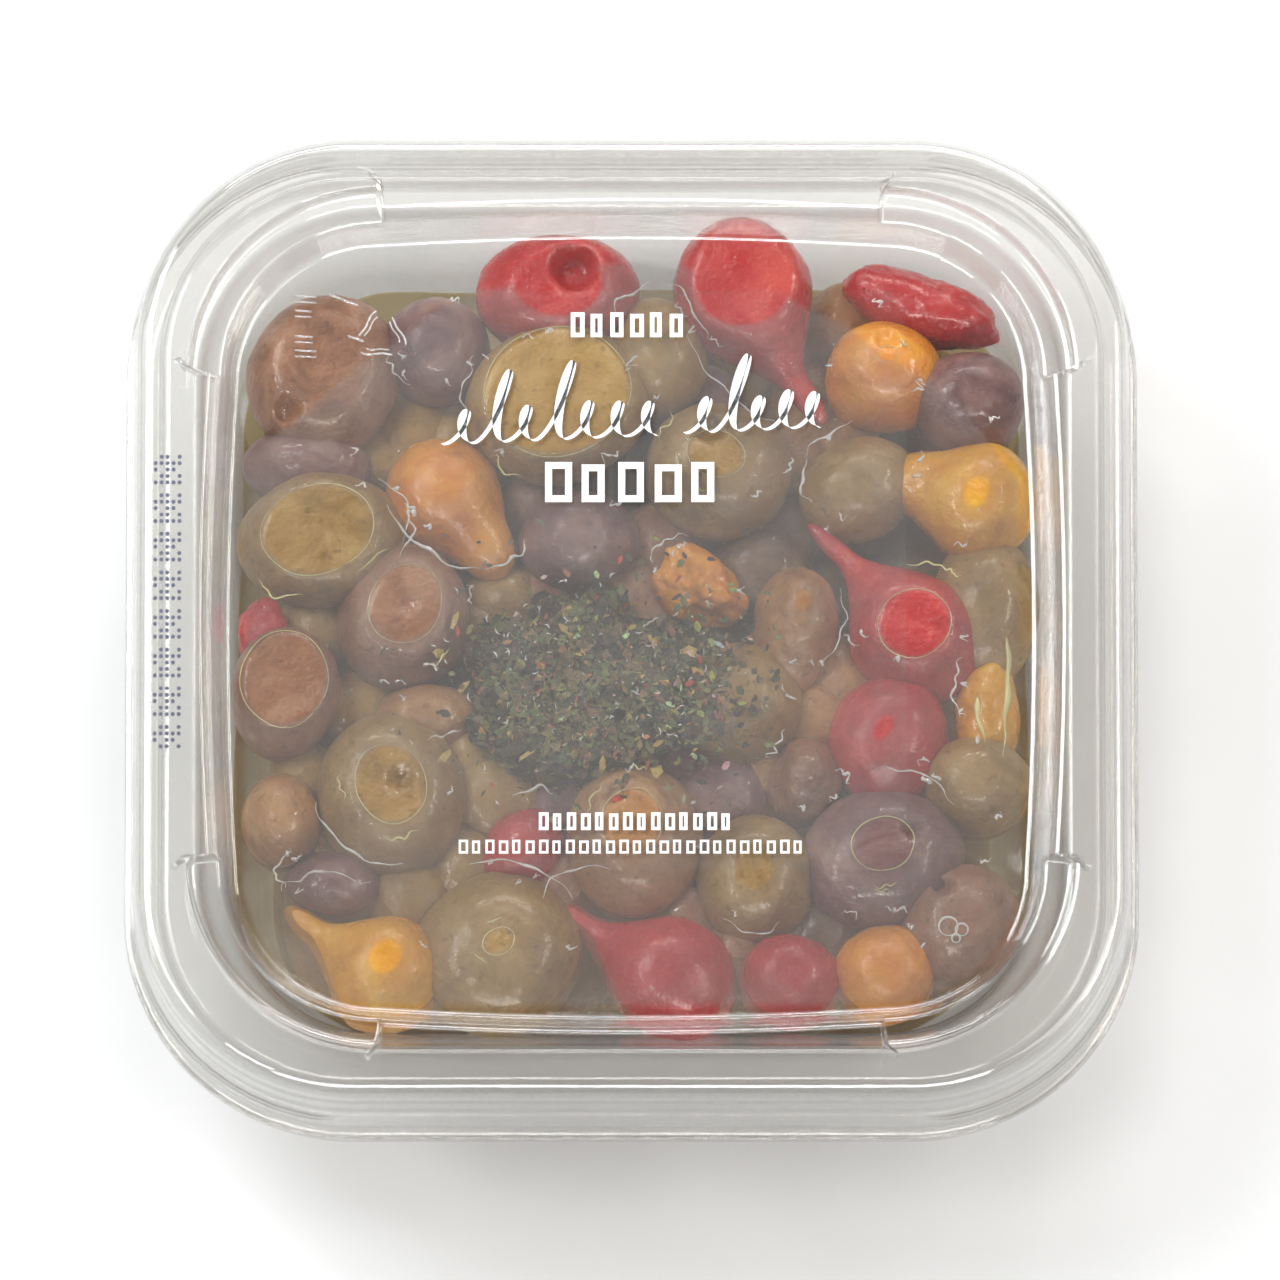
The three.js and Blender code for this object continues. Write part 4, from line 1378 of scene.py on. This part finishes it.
scene = bpy.context.scene
scene.view_settings.view_transform = "Standard"
scene.cycles.transparent_max_bounces = 40


def pale_floor():
    """The plain surface that the tub stands on, just under it."""
    s = Shader("pale_floor")
    grain = s.noise(30, 3.0)
    body = s.principled(
        Base_Color=s.mix(s.span(grain, 0.3, 0.7, 0.0, 1.0), (0.84, 0.84, 0.84), (0.86, 0.86, 0.86)),
        Roughness=0.8,
    )
    material = s.finish(body)
    half = 3000
    made = new_object(
        "floor",
        [(-half, -half, 0), (half, -half, 0), (half, half, 0), (-half, half, 0)],
        [(0, 1, 2, 3)],
        material,
        smooth=False,
    )
    made.location.z = -0.0002


pale_floor()


def softbox(name, azimuth, elevation, distance, size, power, colour):
    """A square area light aimed at the tub. Azimuth 0 is in front and 90 on the right."""
    light = bpy.data.lights.new(name, "AREA")
    light.shape = "SQUARE"
    light.size = size
    light.energy = power
    light.color = colour
    made = bpy.data.objects.new(name, light)
    a, e = math.radians(azimuth), math.radians(elevation)
    away = Vector((math.sin(a) * math.cos(e), -math.cos(a) * math.cos(e), math.sin(e)))
    made.location = Vector((0, 0, 0.03)) + away * distance
    made.rotation_euler = away.to_track_quat("Z", "Y").to_euler()
    scene.collection.objects.link(made)
    return made


def gleam(azimuth, elevation, width, height, radiance, colour):
    """A bright strip that shows only as a reflection: it draws white lines along the rounded edges."""
    power = radiance * math.pi * width * height
    light = softbox(f"gleam_{azimuth}", azimuth, elevation, 1.4, width, power, colour)
    light.data.shape = "RECTANGLE"
    light.data.size_y = height
    light.visible_diffuse = False


softbox("key", -122, 53, 1.2, 0.5, 11, (0.95, 0.985, 1.0))
softbox("fill", 72, 50, 1.2, 0.7, 5.0, (1.0, 0.965, 0.92))
softbox("back", 165, 44, 1.2, 0.65, 5.5, (1.0, 1.0, 1.0))
gleam(0, 36, 1.3, 0.3, 26, (1.0, 1.0, 1.0))
gleam(-90, 42, 1.0, 0.2, 24, (0.95, 0.98, 1.0))
gleam(180, 30, 1.3, 0.26, 20, (1.0, 1.0, 1.0))
gleam(92, 36, 1.0, 0.24, 22, (1.0, 0.95, 0.88))
gleam(-42, 48, 0.3, 0.22, 24, (1.0, 1.0, 1.0))


def studio_world():
    """White walls that darken towards the ceiling, so flat tops stay clear and slopes shine."""
    world = bpy.data.worlds.new("studio")
    world.use_nodes = True
    tree = world.node_tree
    place = tree.nodes.new("ShaderNodeTexCoord")
    split = tree.nodes.new("ShaderNodeSeparateXYZ")
    ramp = tree.nodes.new("ShaderNodeValToRGB")
    tree.links.new(place.outputs["Generated"], split.inputs["Vector"])
    tree.links.new(split.outputs["Z"], ramp.inputs["Fac"])
    stops = ramp.color_ramp.elements
    stops.new(0.5)
    stops.new(0.5)
    tones = ((0.0, 0.55), (0.45, 0.6), (0.8, 0.5), (0.93, 0.16))
    for stop, (position, tone) in zip(stops, tones):
        stop.position = position
        stop.color = (tone * 0.97, tone * 0.985, tone, 1.0)
    background = tree.nodes["Background"]
    tree.links.new(ramp.outputs["Color"], background.inputs["Color"])
    background.inputs["Strength"].default_value = 0.9
    scene.world = world


studio_world()

# a long lens, 15 degrees off the vertical, over the front edge
TILT = math.radians(15)
DISTANCE = 4
FRAME_WIDTH = 0.1536  # what the picture spans at the height of the ring
LOOK_AT = Vector((1.0, -3.4, RING_TOP)) * MM
camera_data = bpy.data.cameras.new("camera")
camera_data.sensor_width = 36
camera_data.lens = 36 * DISTANCE / FRAME_WIDTH
camera_data.clip_start = 0.05
camera = bpy.data.objects.new("camera", camera_data)
camera.location = LOOK_AT + Vector((0, -math.sin(TILT), math.cos(TILT))) * DISTANCE
camera.rotation_euler = (TILT, 0, 0)
scene.collection.objects.link(camera)
scene.camera = camera
